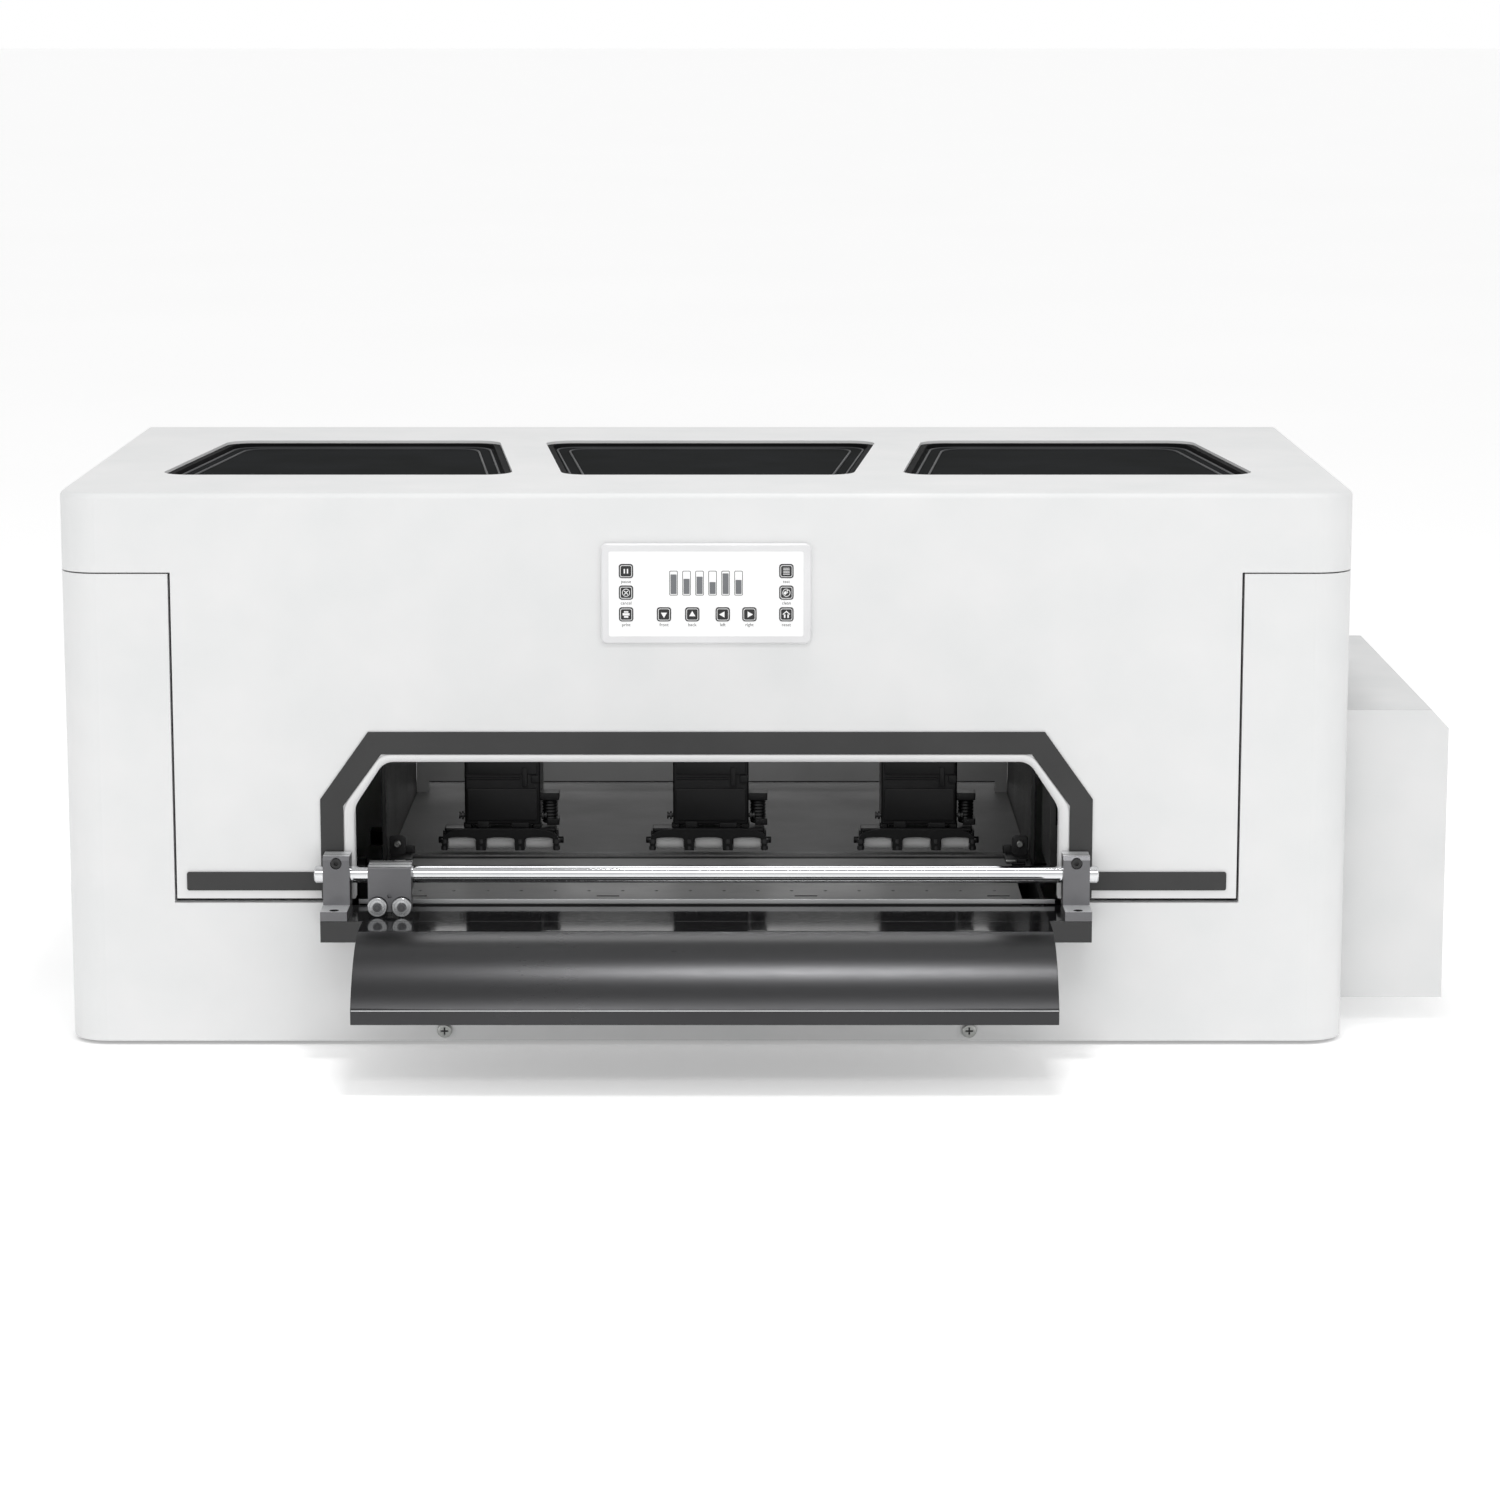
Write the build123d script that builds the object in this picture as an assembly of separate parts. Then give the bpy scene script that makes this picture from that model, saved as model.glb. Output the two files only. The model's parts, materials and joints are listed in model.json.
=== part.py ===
from build123d import *
import math
import os

# Millimetres. +Z up, +Y to the back, X = 0 at the middle of the case, floor at Z = 0.
# ---- case and cover
CASE_W = 900.0
CASE_D = 463.0
CASE_H = 388.5
FOOT_H = 3.0
WALL = 2.0
FRONT_CORNER_R = 27.0
BACK_CORNER_R = 4.0
TOP_EDGE_R = 4.0
SEAM_GAP = 1.0
COVER_BAND_H = 55.3
PANEL_HALF_W = 371.5
PANEL_SIDE_GAP = 1.8
PANEL_BOTTOM_H = 102.7
PANEL_BOTTOM_GAP = 3.2
RETURN_DEPTH = 10.0
FLANGE_W = 12.0
BODY_GAP = 0.5
# ---- film opening and its trim
OPEN_TOP_HALF_W = 225.0
OPEN_HALF_W = 246.5
OPEN_TOP_H = 200.0
OPEN_SHOULDER_H = 167.5
LIP_TOP_W = 5.5
LIP_SIDE_W = 7.5
LIP_DEPTH = 12.0
BAND_W = 16.0
TRIM_PROUD = 1.2
WING_H = 13.1
WING_BOTTOM_H = 108.6
WING_HALF_W = 364.3
# ---- windows in the cover
WINDOW_FRONT = 115.0
WINDOW_D = 239.0
WINDOW_SLANT = 24.0
WINDOW_MID_HALF_W = 104.0
WINDOW_BAR = 35.0
WINDOW_SIDE_W = 255.0
WINDOW_R = 20.0
GASKET_LAND = 8.0
GASKET_IN = 5.0
GASKET_T = 3.0
PANE_T = 3.0
# ---- control panel
CTRL_HALF_W = 72.8
CTRL_H = 70.0
CTRL_TOP_H = 353.8
CTRL_RIM = 5.3
CTRL_PROUD = 4.0
KEY_SIDE = 9.4
KEY_R = 1.8
KEY_GAP = 0.3
KEY_TRAVEL = 0.4
KEY_COLUMN_X = (-55.4, -29.2, -9.6, 11.5, 30.0, 55.6)
KEY_ROW_H = (334.7, 319.7, 304.5)
# ---- cover hinge
HINGE_BACK = 11.5
HINGE_H = 140.0
HINGE_X = 380.0
HINGE_PIN_R = 5.0
ARM_T = 4.0
ARM_W = 20.0
RUN_FIT = 0.05
# ---- film path
PLATEN_TOP_H = 100.3
PLATEN_T = 6.0
PLATEN_HALF_W = 222.0
PLATEN_FRONT = 9.0
PLATEN_D = 143.0
SHELF_TOP_H = 96.0
SHELF_T = 15.2
SHELF_HALF_W = 267.0
SHELF_FRONT = -45.0
APRON_HALF_W = 238.0
APRON_FLAT_FRONT = -73.0
APRON_R = 80.0
APRON_TURN = 60.0
APRON_LIP = 10.0
SHEET_T = 2.0
FEED_R = 11.0
FEED_SHAFT_R = 5.0
FEED_BACK = 165.0
GUIDE_BACK = 420.0
SLOT_HALF_W = 226.0
SLOT_H = 9.0
# ---- cutter rail
ROD_R = 6.0
ROD_HALF_L = 273.5
ROD_H = 122.5
ROD_FRONT = -12.5
SUPPORT_X0 = 248.4
SUPPORT_W = 18.6
SUPPORT_FRONT = -22.0
SUPPORT_BACK = -3.0
SUPPORT_TOP_H = 136.8
SUPPORT_FOOT_T = 6.5
CUT_X = -220.0
CUT_W = 30.0
CUT_FRONT = -30.0
CUT_TOP_H = 131.0
CUT_ROLLER_R = 6.75
CUT_ROLLER_T = 5.0
CUT_ROLLER_PITCH = 17.0
CUT_AXLE_R = 2.0
ROLL_GAP = 0.35
# ---- print carriage
BEAM_SIDE = 60.0
BEAM_HALF_L = 430.0
BEAM_BACK = 173.5
BEAM_H = 212.0
RAIL_W = 12.0
RAIL_T = 8.0
PULLEY_R = 8.0
PULLEY_X = 405.0
BELT_W = 6.0
BELT_T = 1.4
CARRIAGE_X = 345.0
CARRIAGE_W = 120.0
HEAD_GAP = 3.2
# ---- pinch rollers
PINCH_PITCH_X = 152.6
PINCH_R = 6.5
PINCH_W = 21.0
PINCH_PITCH = 28.4
PINCH_SHAFT_R = 4.0
PINCH_AXLE_R = 2.5
PINCH_PIVOT_BACK = 36.5
PINCH_PIVOT_RISE = 56.0
PINCH_OPEN_RISE = 8.3
PINCH_OPEN_SHIFT = 17.9
PINCH_LEVER_LEAN = 105.0
# ---- ink side box
BOX_W = 77.5
BOX_FRONT = 60.0
BOX_D = 360.0
BOX_BOTTOM_H = 17.3
BOX_TOP_H = 226.6
BOX_CHAMFER_X = 12.0
BOX_CHAMFER_Z = 13.0
BOTTLE_R = 23.0
BOTTLE_H = 128.0
BOTTLES = 6
BOTTLE_PITCH = 57.0

FRONT = -CASE_D / 2
BACK = CASE_D / 2
HALF_W = CASE_W / 2
TOP = FOOT_H + CASE_H
COVER_BOTTOM = TOP - COVER_BAND_H
CASE_TOP = COVER_BOTTOM - SEAM_GAP
PANEL_BOTTOM = FOOT_H + PANEL_BOTTOM_H
INNER_FRONT = FRONT + WALL
FLOOR_T = 3.0
FLOOR_TOP = FOOT_H + FLOOR_T
PLATEN_TOP = FOOT_H + PLATEN_TOP_H
SHELF_TOP = FOOT_H + SHELF_TOP_H
SHELF_BOTTOM = SHELF_TOP - SHELF_T
ROD_Y = FRONT + ROD_FRONT
ROD_Z = FOOT_H + ROD_H
FEED_Y = FRONT + FEED_BACK
FEED_Z = PLATEN_TOP - FEED_R + 0.1
PINCH_Y = FEED_Y - PINCH_OPEN_SHIFT
PINCH_Z = FEED_Z + FEED_R + PINCH_R + 0.3 + PINCH_OPEN_RISE
PIVOT_Y = PINCH_Y + PINCH_PIVOT_BACK
PIVOT_Z = PINCH_Z + PINCH_PIVOT_RISE
BEAM_Y0 = FRONT + BEAM_BACK
BEAM_Z0 = FOOT_H + BEAM_H
RAIL_Z = BEAM_Z0 + BEAM_SIDE / 2
BELT_Y = BEAM_Y0 - 14.0
BELT_Z = BEAM_Z0 + 48.0
HEAD_Z = PLATEN_TOP + HEAD_GAP
HINGE_Y = BACK + HINGE_BACK
HINGE_Z = FOOT_H + HINGE_H
INNER_PLATE_X = 236.0
INNER_PLATE_T = 3.0
SIDE_X = HALF_W + BOX_W
SIDE_Y0 = FRONT + BOX_FRONT
SIDE_Y1 = SIDE_Y0 + BOX_D
SIDE_Z0 = FOOT_H + BOX_BOTTOM_H
SIDE_Z1 = FOOT_H + BOX_TOP_H
INLET_X = -330.0
USB_X = -270.0
SWITCH_X = -390.0
PORT_Z = 60.0
ROCKER_TILT = 10.0


def block(x0, x1, y0, y1, z0, z1):
    centre = Pos((x0 + x1) / 2, (y0 + y1) / 2, (z0 + z1) / 2)
    return centre * Box(abs(x1 - x0), abs(y1 - y0), abs(z1 - z0))


def rod_x(r, x0, x1, y, z):
    return Pos((x0 + x1) / 2, y, z) * Rot(0, 90, 0) * Cylinder(r, abs(x1 - x0))


def rod_y(r, x, y0, y1, z):
    return Pos(x, (y0 + y1) / 2, z) * Rot(90, 0, 0) * Cylinder(r, abs(y1 - y0))


def rod_z(r, x, y, z0, z1):
    return Pos(x, y, (z0 + z1) / 2) * Cylinder(r, abs(z1 - z0))


def slab_xz(points, y0, y1):
    """Polygon of (x, z) points, extruded from y0 to y1."""
    face = make_face(Polyline(*[(x, y1, z) for x, z in points], close=True))
    return extrude(face, amount=y1 - y0, dir=(0, -1, 0))


def slab_yz(points, x0, x1):
    """Polygon of (y, z) points, extruded from x0 to x1."""
    face = make_face(Polyline(*[(x0, y, z) for y, z in points], close=True))
    return extrude(face, amount=x1 - x0, dir=(1, 0, 0))


def plan(inset, z):
    """Outline of the case seen from above, moved inwards by inset."""
    sketch = Rectangle(CASE_W - 2 * inset, CASE_D - 2 * inset)
    front = [v for v in sketch.vertices() if v.Y < 0]
    sketch = fillet(front, FRONT_CORNER_R - inset)
    back = [v for v in sketch.vertices() if v.Y > CASE_D / 2 - inset - 0.1]
    sketch = fillet(back, max(BACK_CORNER_R - inset, 0.5))
    return Pos(0, 0, z) * sketch


def tube_wall(z0, z1, outer, inner):
    return extrude(plan(outer, z0) - plan(inner, z0), amount=z1 - z0)


def arch(half_top, half_w, top, shoulder, bottom):
    """Outline of an opening with two slanted shoulders, as (x, z) points."""
    right = [(half_w, bottom), (half_w, shoulder), (half_top, top)]
    return right + [(-x, z) for x, z in reversed(right)]


def opening_outline(bottom):
    return arch(OPEN_TOP_HALF_W, OPEN_HALF_W, FOOT_H + OPEN_TOP_H, FOOT_H + OPEN_SHOULDER_H, bottom)


def lip_outline(bottom):
    return arch(
        OPEN_TOP_HALF_W + 2.0,
        OPEN_HALF_W + LIP_SIDE_W,
        FOOT_H + OPEN_TOP_H + LIP_TOP_W,
        FOOT_H + OPEN_SHOULDER_H + 1.3,
        bottom,
    )


def band_outline(bottom):
    return arch(
        OPEN_TOP_HALF_W + 11.0,
        OPEN_HALF_W + LIP_SIDE_W + BAND_W,
        FOOT_H + OPEN_TOP_H + LIP_TOP_W + BAND_W - 0.2,
        FOOT_H + OPEN_SHOULDER_H + 6.1,
        bottom,
    )


# ------------------------------------------------------------------ case
def rear_cuts():
    cuts = [block(-SLOT_HALF_W - 6, SLOT_HALF_W + 6, BACK - 5, BACK + 5, PLATEN_TOP, PLATEN_TOP + 24)]
    cuts.append(block(INLET_X - 14, INLET_X + 14, BACK - 5, BACK + 5, PORT_Z - 10, PORT_Z + 10))
    cuts.append(block(USB_X - 6.5, USB_X + 6.5, BACK - 5, BACK + 5, PORT_Z - 6, PORT_Z + 6))
    cuts.append(block(SWITCH_X - 9.5, SWITCH_X + 9.5, BACK - 5, BACK + 5, PORT_Z - 13, PORT_Z + 13))
    for i in range(10):
        x = -420.0 + 12 * i
        cuts.append(block(x, x + 4, BACK - 5, BACK + 5, 200, 250))
        cuts.append(block(-HALF_W - 5, -HALF_W + 5, -54 + 12 * i, -50 + 12 * i, 30, 70))
    return cuts


def hinge_lugs():
    """Two welded plates behind the case, each with a fixed hinge pin."""
    solids = []
    for s in (-1, 1):
        x0 = s * (HINGE_X + ARM_T + BODY_GAP)
        x1 = s * (HINGE_X + ARM_T + BODY_GAP + 4)
        solids.append(block(x0, x1, BACK - 0.5, HINGE_Y, HINGE_Z - 16, HINGE_Z + 16))
        solids.append(rod_x(16, x0, x1, HINGE_Y, HINGE_Z))
        solids.append(rod_x(HINGE_PIN_R, s * (HINGE_X - 3), x1, HINGE_Y, HINGE_Z))
        solids.append(rod_x(HINGE_PIN_R + 3, s * (HINGE_X - 3), s * (HINGE_X - BODY_GAP), HINGE_Y, HINGE_Z))
    return solids


def screw_places():
    return [(s * 185.0, FOOT_H + 7.7) for s in (-1, 1)]


def lower_case():
    shell = tube_wall(FOOT_H, CASE_TOP, 0, WALL)
    shell += tube_wall(CASE_TOP - WALL, CASE_TOP, WALL, WALL + FLANGE_W)
    open_w = PANEL_HALF_W + PANEL_SIDE_GAP
    step = PANEL_BOTTOM - PANEL_BOTTOM_GAP
    shell -= block(-open_w, open_w, FRONT - 1, FRONT + 20, step, CASE_TOP + 1)
    shell -= block(-SHELF_HALF_W - 1, SHELF_HALF_W + 1, FRONT - 1, FRONT + 5, SHELF_BOTTOM - 1, step + 1)
    for s in (-1, 1):
        shell += block(s * open_w, s * (open_w + WALL), FRONT, FRONT + RETURN_DEPTH, step, CASE_TOP)
        x0, x1 = SHELF_HALF_W + 1, open_w + WALL
        shell += block(s * x0, s * x1, INNER_FRONT, FRONT + RETURN_DEPTH, step - WALL, step)
    shell -= rear_cuts()
    shell -= [rod_y(2.6, x, FRONT - 1, INNER_FRONT + 1, z) for x, z in screw_places()]
    shell -= block(HALF_W - 5, HALF_W + 5, -20, 20, 150, 180)
    return shell + hinge_lugs()


def base_plate():
    plate = extrude(plan(WALL, FOOT_H), amount=FLOOR_T)
    slots = []
    for i in range(8):
        x = 300.0 + 14 * i
        slots.append(block(x, x + 5, 60, 150, FOOT_H - 1, FLOOR_TOP + 1))
    return plate - slots


def rubber_feet():
    feet = []
    places = [(-400.0, -190.0), (-400.0, 190.0), (0.0, 0.0), (400.0, -190.0), (400.0, 190.0)]
    for x, y in places:
        disc = rod_z(16, x, y, 0, FOOT_H)
        feet.append(chamfer(disc.edges().filter_by(GeomType.CIRCLE).sort_by(Axis.Z)[0], 0.8))
    return Compound(children=feet)


def cross_recess(x, y, z, size):
    arm = 0.22 * size
    return [
        block(x - size, x + size, y, y + 1.8, z - arm, z + arm),
        block(x - arm, x + arm, y, y + 1.8, z - size, z + size),
    ]


def pan_screw(x, z):
    face = FRONT - 3.2
    head = rod_y(5.25, x, face, FRONT, z)
    head = fillet(head.edges().filter_by(GeomType.CIRCLE).sort_by(Axis.Y)[0], 1.6)
    head += rod_y(2.5, x, FRONT - 0.1, FRONT + 9, z)
    return head - cross_recess(x, face - 0.1, z, 2.9)


def case_screws():
    return Compound(children=[pan_screw(x, z) for x, z in screw_places()])


def beam_end_plates():
    """Upright plates at both ends that carry the carriage beam."""
    solids = []
    for s in (-1, 1):
        x0, x1 = s * BEAM_HALF_L, s * (BEAM_HALF_L + 4)
        y0, y1 = BEAM_Y0 - 30, BEAM_Y0 + BEAM_SIDE + 30
        plate = slab_yz(
            [(y0, FLOOR_TOP), (y1, FLOOR_TOP), (BEAM_Y0 + BEAM_SIDE + 4, BEAM_Z0 + 62), (BEAM_Y0 - 4, BEAM_Z0 + 62)],
            min(x0, x1),
            max(x0, x1),
        )
        plate += block(s * (BEAM_HALF_L - 20), x0, y0, y1, FLOOR_TOP, FLOOR_TOP + 4)
        plate -= [rod_x(3, x0 - 5, x1 + 5, BEAM_Y0 + 10 + 40 * k, RAIL_Z) for k in (0, 1)]
        solids.append(plate)
    return Compound(children=solids)


# ------------------------------------------------------------------ cover
def top_cover():
    body = extrude(plan(0, COVER_BOTTOM), amount=COVER_BAND_H)
    body = fillet(body.faces().sort_by(Axis.Z)[-1].edges(), TOP_EDGE_R)
    body -= extrude(plan(WALL, COVER_BOTTOM - 1), amount=COVER_BAND_H + 1 - WALL)
    body += block(-PANEL_HALF_W, PANEL_HALF_W, FRONT, INNER_FRONT, PANEL_BOTTOM, COVER_BOTTOM + 1)
    for s in (-1, 1):
        x0, x1 = s * (PANEL_HALF_W - WALL), s * PANEL_HALF_W
        body += block(x0, x1, FRONT, FRONT + RETURN_DEPTH, PANEL_BOTTOM, COVER_BOTTOM)
        x2 = s * (OPEN_HALF_W + 1)
        body += block(x2, x1, FRONT, FRONT + RETURN_DEPTH, PANEL_BOTTOM, PANEL_BOTTOM + WALL)
    lip = slab_xz(lip_outline(PANEL_BOTTOM), FRONT, FRONT + LIP_DEPTH)
    body += lip
    body -= slab_xz(opening_outline(PANEL_BOTTOM - 1), FRONT - 1, FRONT + LIP_DEPTH + 1)
    for outline in window_outlines():
        body -= extrude(Pos(0, 0, TOP - WALL - 1) * outline, amount=WALL + 2)
    return body


def window_points():
    y0, y1 = FRONT + WINDOW_FRONT, FRONT + WINDOW_FRONT + WINDOW_D
    mid = [
        (-WINDOW_MID_HALF_W, y0),
        (WINDOW_MID_HALF_W, y0),
        (WINDOW_MID_HALF_W + WINDOW_SLANT, y1),
        (-WINDOW_MID_HALF_W - WINDOW_SLANT, y1),
    ]
    near = WINDOW_MID_HALF_W + WINDOW_BAR
    right = [
        (near, y0),
        (near + WINDOW_SIDE_W, y0),
        (near + WINDOW_SIDE_W - WINDOW_SLANT, y1),
        (near + WINDOW_SLANT, y1),
    ]
    return [mid, right, [(-x, y) for x, y in reversed(right)]]


def window_outlines(grow=0.0):
    sketches = []
    for points in window_points():
        sketch = make_face(Polyline(*points, close=True))
        if grow:
            sketch = offset(sketch, grow, kind=Kind.INTERSECTION)
        sketches.append(fillet(sketch.vertices(), WINDOW_R + grow))
    return sketches


def window_gaskets():
    rings = []
    z = TOP - WALL - GASKET_T
    for outer, inner in zip(window_outlines(GASKET_LAND), window_outlines(-GASKET_IN)):
        rings.append(extrude(Pos(0, 0, z) * (outer - inner), amount=GASKET_T))
    return Compound(children=rings)


def window_panes():
    z = TOP - WALL - GASKET_T - PANE_T
    return Compound(children=[extrude(Pos(0, 0, z) * s, amount=PANE_T) for s in window_outlines(GASKET_LAND - 2)])


def arch_trim():
    """Dark band round the opening with a wing to each side."""
    bottom = PANEL_BOTTOM + 0.4
    wing_z = FOOT_H + WING_BOTTOM_H
    y0 = FRONT - TRIM_PROUD
    wings = block(-WING_HALF_W, WING_HALF_W, y0, FRONT, wing_z, wing_z + WING_H)
    wings = fillet(wings.edges().filter_by(Axis.Y), 1.5)
    band = slab_xz(band_outline(bottom), y0, FRONT) + wings
    return band - slab_xz(lip_outline(bottom - 1), y0 - 1, FRONT + 1)


def ctrl_frame(rim):
    """Rounded rectangle of the control panel, moved inwards by rim."""
    sketch = RectangleRounded(2 * (CTRL_HALF_W - rim), CTRL_H - 2 * rim, max(4.0 - rim / 2, 1.2))
    return Plane.XZ.offset(-FRONT) * Pos(0, FOOT_H + CTRL_TOP_H - CTRL_H / 2) * sketch


def panel_bezel():
    ring = extrude(ctrl_frame(0) - ctrl_frame(CTRL_RIM), amount=CTRL_PROUD)
    front = ring.faces().sort_by(Axis.Y)[0]
    return chamfer(front.outer_wire().edges(), 1.0)


def key_places():
    left, down, up, back, forward, right = KEY_COLUMN_X
    places = [("pause", left, 0), ("cancel", left, 1), ("print", left, 2)]
    places += [("out", down, 2), ("in", up, 2), ("left", back, 2), ("right", forward, 2)]
    places += [("test", right, 0), ("clean", right, 1), ("home", right, 2)]
    return [(name, x, FOOT_H + KEY_ROW_H[row]) for name, x, row in places]


def key_prism(x, z, grow, y0, y1):
    side = KEY_SIDE + 2 * grow
    sketch = Plane.XZ.offset(-y1) * Pos(x, z) * RectangleRounded(side, side, KEY_R + grow)
    return extrude(sketch, amount=y1 - y0)


def panel_face():
    plate = extrude(ctrl_frame(CTRL_RIM), amount=CTRL_PROUD - 0.5)
    return plate - [key_prism(x, z, KEY_GAP, FRONT - CTRL_PROUD - 1, FRONT) for _, x, z in key_places()]


def control_key(x, z):
    back = FRONT - KEY_TRAVEL - 0.3
    key = key_prism(x, z, 0, FRONT - CTRL_PROUD, back)
    return fillet(key.faces().sort_by(Axis.Y)[0].edges(), 0.25)


def cover_arms():
    """Two flat arms on the back of the cover, down to the hinge pins."""
    solids = []
    for s in (-1, 1):
        x0, x1 = sorted((s * HINGE_X, s * (HINGE_X + ARM_T)))
        arm = block(x0, x1, HINGE_Y - 9.5, HINGE_Y + 9.5, HINGE_Z, TOP - 12)
        arm += rod_x(10.5, x0, x1, HINGE_Y, HINGE_Z)
        arm += block(x0, x1, BACK, HINGE_Y, COVER_BOTTOM + 4, TOP - 12)
        xa, xb = sorted((s * HINGE_X, s * (HINGE_X - 26)))
        arm += block(xa, xb, BACK, BACK + 3, COVER_BOTTOM + 4, TOP - 12)
        arm -= rod_x(HINGE_PIN_R + RUN_FIT, x0 - 1, x1 + 1, HINGE_Y, HINGE_Z)
        solids.append(arm)
    return Compound(children=solids)


# ------------------------------------------------------------------ film path
def inner_side_plates():
    """Black upright plates beside the film, low in front so that the carriage passes over."""
    solids = []
    low, high = PLATEN_TOP - 4, PIVOT_Z + 12
    step = FEED_Y - 27
    outline = [
        (FRONT + 17, FLOOR_TOP),
        (BACK - 40, FLOOR_TOP),
        (BACK - 40, high),
        (step + 6, high),
        (step, high - 6),
        (step, low),
        (FRONT + 17, low),
    ]
    for s in (-1, 1):
        x0, x1 = sorted((s * INNER_PLATE_X, s * (INNER_PLATE_X + INNER_PLATE_T)))
        plate = slab_yz(outline, x0, x1)
        f0, f1 = sorted((s * (INNER_PLATE_X + INNER_PLATE_T), s * (INNER_PLATE_X + 18)))
        plate += block(f0, f1, FRONT + 30, BACK - 60, FLOOR_TOP, FLOOR_TOP + 3)
        plate -= rod_x(FEED_SHAFT_R + RUN_FIT, x0 - 1, x1 + 1, FEED_Y, FEED_Z)
        plate -= rod_x(PINCH_SHAFT_R + RUN_FIT, x0 - 1, x1 + 1, PIVOT_Y, PIVOT_Z)
        solids.append(plate)
    return Compound(children=solids)


def vacuum_platen():
    y0, y1 = FRONT + PLATEN_FRONT, FRONT + PLATEN_FRONT + PLATEN_D
    plate = block(-PLATEN_HALF_W, PLATEN_HALF_W, y0, y1, PLATEN_TOP - PLATEN_T, PLATEN_TOP)
    holes = []
    for row in range(3):
        for i in range(18):
            x = -204.0 + 24 * i
            y = y0 + 28 + 36 * row
            holes.append(rod_z(1.5, x, y, PLATEN_TOP - PLATEN_T - 1, PLATEN_TOP + 1))
    for x in (-206.0, -70.0, 70.0, 206.0):
        holes.append(block(x - 8, x + 8, y0 + 9, y0 + 12, PLATEN_TOP - 1.2, PLATEN_TOP + 1))
    return plate - holes


def vacuum_box():
    y0, y1 = FRONT + PLATEN_FRONT + 8, FRONT + PLATEN_FRONT + PLATEN_D - 8
    z1 = PLATEN_TOP - PLATEN_T
    x1 = PLATEN_HALF_W - 6
    tub = block(-x1, x1, y0, y1, z1 - 38, z1)
    tub -= block(-x1 + 2, x1 - 2, y0 + 2, y1 - 2, z1 - 36, z1 + 1)
    tub -= rod_z(28, 0, (y0 + y1) / 2, z1 - 40, z1 - 30)
    for x in (-150.0, 150.0):
        tub += rod_z(8, x, (y0 + y1) / 2, FLOOR_TOP, z1 - 37)
    return tub


def rear_film_guide():
    """Bent sheet behind the feed roller, with an upright wall and a film slot at its foot."""
    x1 = INNER_PLATE_X - 0.5
    wall_y = FRONT + GUIDE_BACK
    flat = block(-x1, x1, FEED_Y + FEED_R + 1, BACK - WALL - 0.5, PLATEN_TOP - SHEET_T, PLATEN_TOP)
    wall = block(-x1, x1, wall_y - SHEET_T, wall_y, PLATEN_TOP, PLATEN_TOP + 115)
    wall -= block(-SLOT_HALF_W, SLOT_HALF_W, wall_y - 5, wall_y + 5, PLATEN_TOP, PLATEN_TOP + SLOT_H)
    return flat + wall


def output_shelf():
    y0, y1 = FRONT + SHELF_FRONT, FRONT + PLATEN_FRONT - 0.3
    beam = block(-SHELF_HALF_W, SHELF_HALF_W, y0, y1, SHELF_BOTTOM, SHELF_TOP)
    beam -= block(-SHELF_HALF_W - 1, SHELF_HALF_W + 1, y0 + 3, y1 - 3, SHELF_BOTTOM + 3, SHELF_TOP - 3)
    return fillet(beam.edges().filter_by(Axis.X).group_by(Axis.Y)[0], 0.8)


def heated_apron():
    """Curved sheet in front of the shelf: flat, arc, then a short upright lip."""
    x0 = -APRON_HALF_W
    ya = FRONT + SHELF_FRONT
    yb = FRONT + APRON_FLAT_FRONT
    cz = SHELF_TOP - APRON_R
    turn = math.radians(APRON_TURN)
    ye = yb - APRON_R * math.sin(turn)
    ze = cz + APRON_R * math.cos(turn)
    inner = APRON_R - SHEET_T
    stop = math.asin((yb - ye - SHEET_T) / inner)
    zi = cz + inner * math.cos(stop)

    def arc(radius, end):
        pts = [(x0, yb - radius * math.sin(a), cz + radius * math.cos(a)) for a in (0, end / 2, end)]
        return ThreePointArc(*pts)

    low = ze - APRON_LIP
    outer_arc = arc(APRON_R, turn)
    inner_arc = arc(inner, stop)
    path = Polyline((x0, ye, ze), (x0, ye, low), (x0, ye + SHEET_T, low), (x0, ye + SHEET_T, zi))
    z_in = SHELF_TOP - SHEET_T
    back = Polyline(
        (x0, yb, z_in),
        (x0, ya - SHEET_T, z_in),
        (x0, ya - SHEET_T, SHELF_BOTTOM),
        (x0, ya, SHELF_BOTTOM),
        (x0, ya, SHELF_TOP),
        (x0, yb, SHELF_TOP),
    )
    face = make_face([*outer_arc.edges(), *path.edges(), *inner_arc.edges(), *back.edges()])
    sheet = extrude(face, amount=2 * APRON_HALF_W, dir=(1, 0, 0))
    rib = [(ya - SHEET_T, SHELF_BOTTOM + 1), (ya - SHEET_T, z_in - 1), (yb, z_in - 1), (yb - 30, z_in - 9), (yb, 80)]
    for x in (-150.0, 0.0, 150.0):
        sheet += slab_yz(rib, x - 1.5, x + 1.5)
    return sheet


# ------------------------------------------------------------------ cutter
def support_x(side):
    return sorted((side * SUPPORT_X0, side * (SUPPORT_X0 + SUPPORT_W)))


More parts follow.
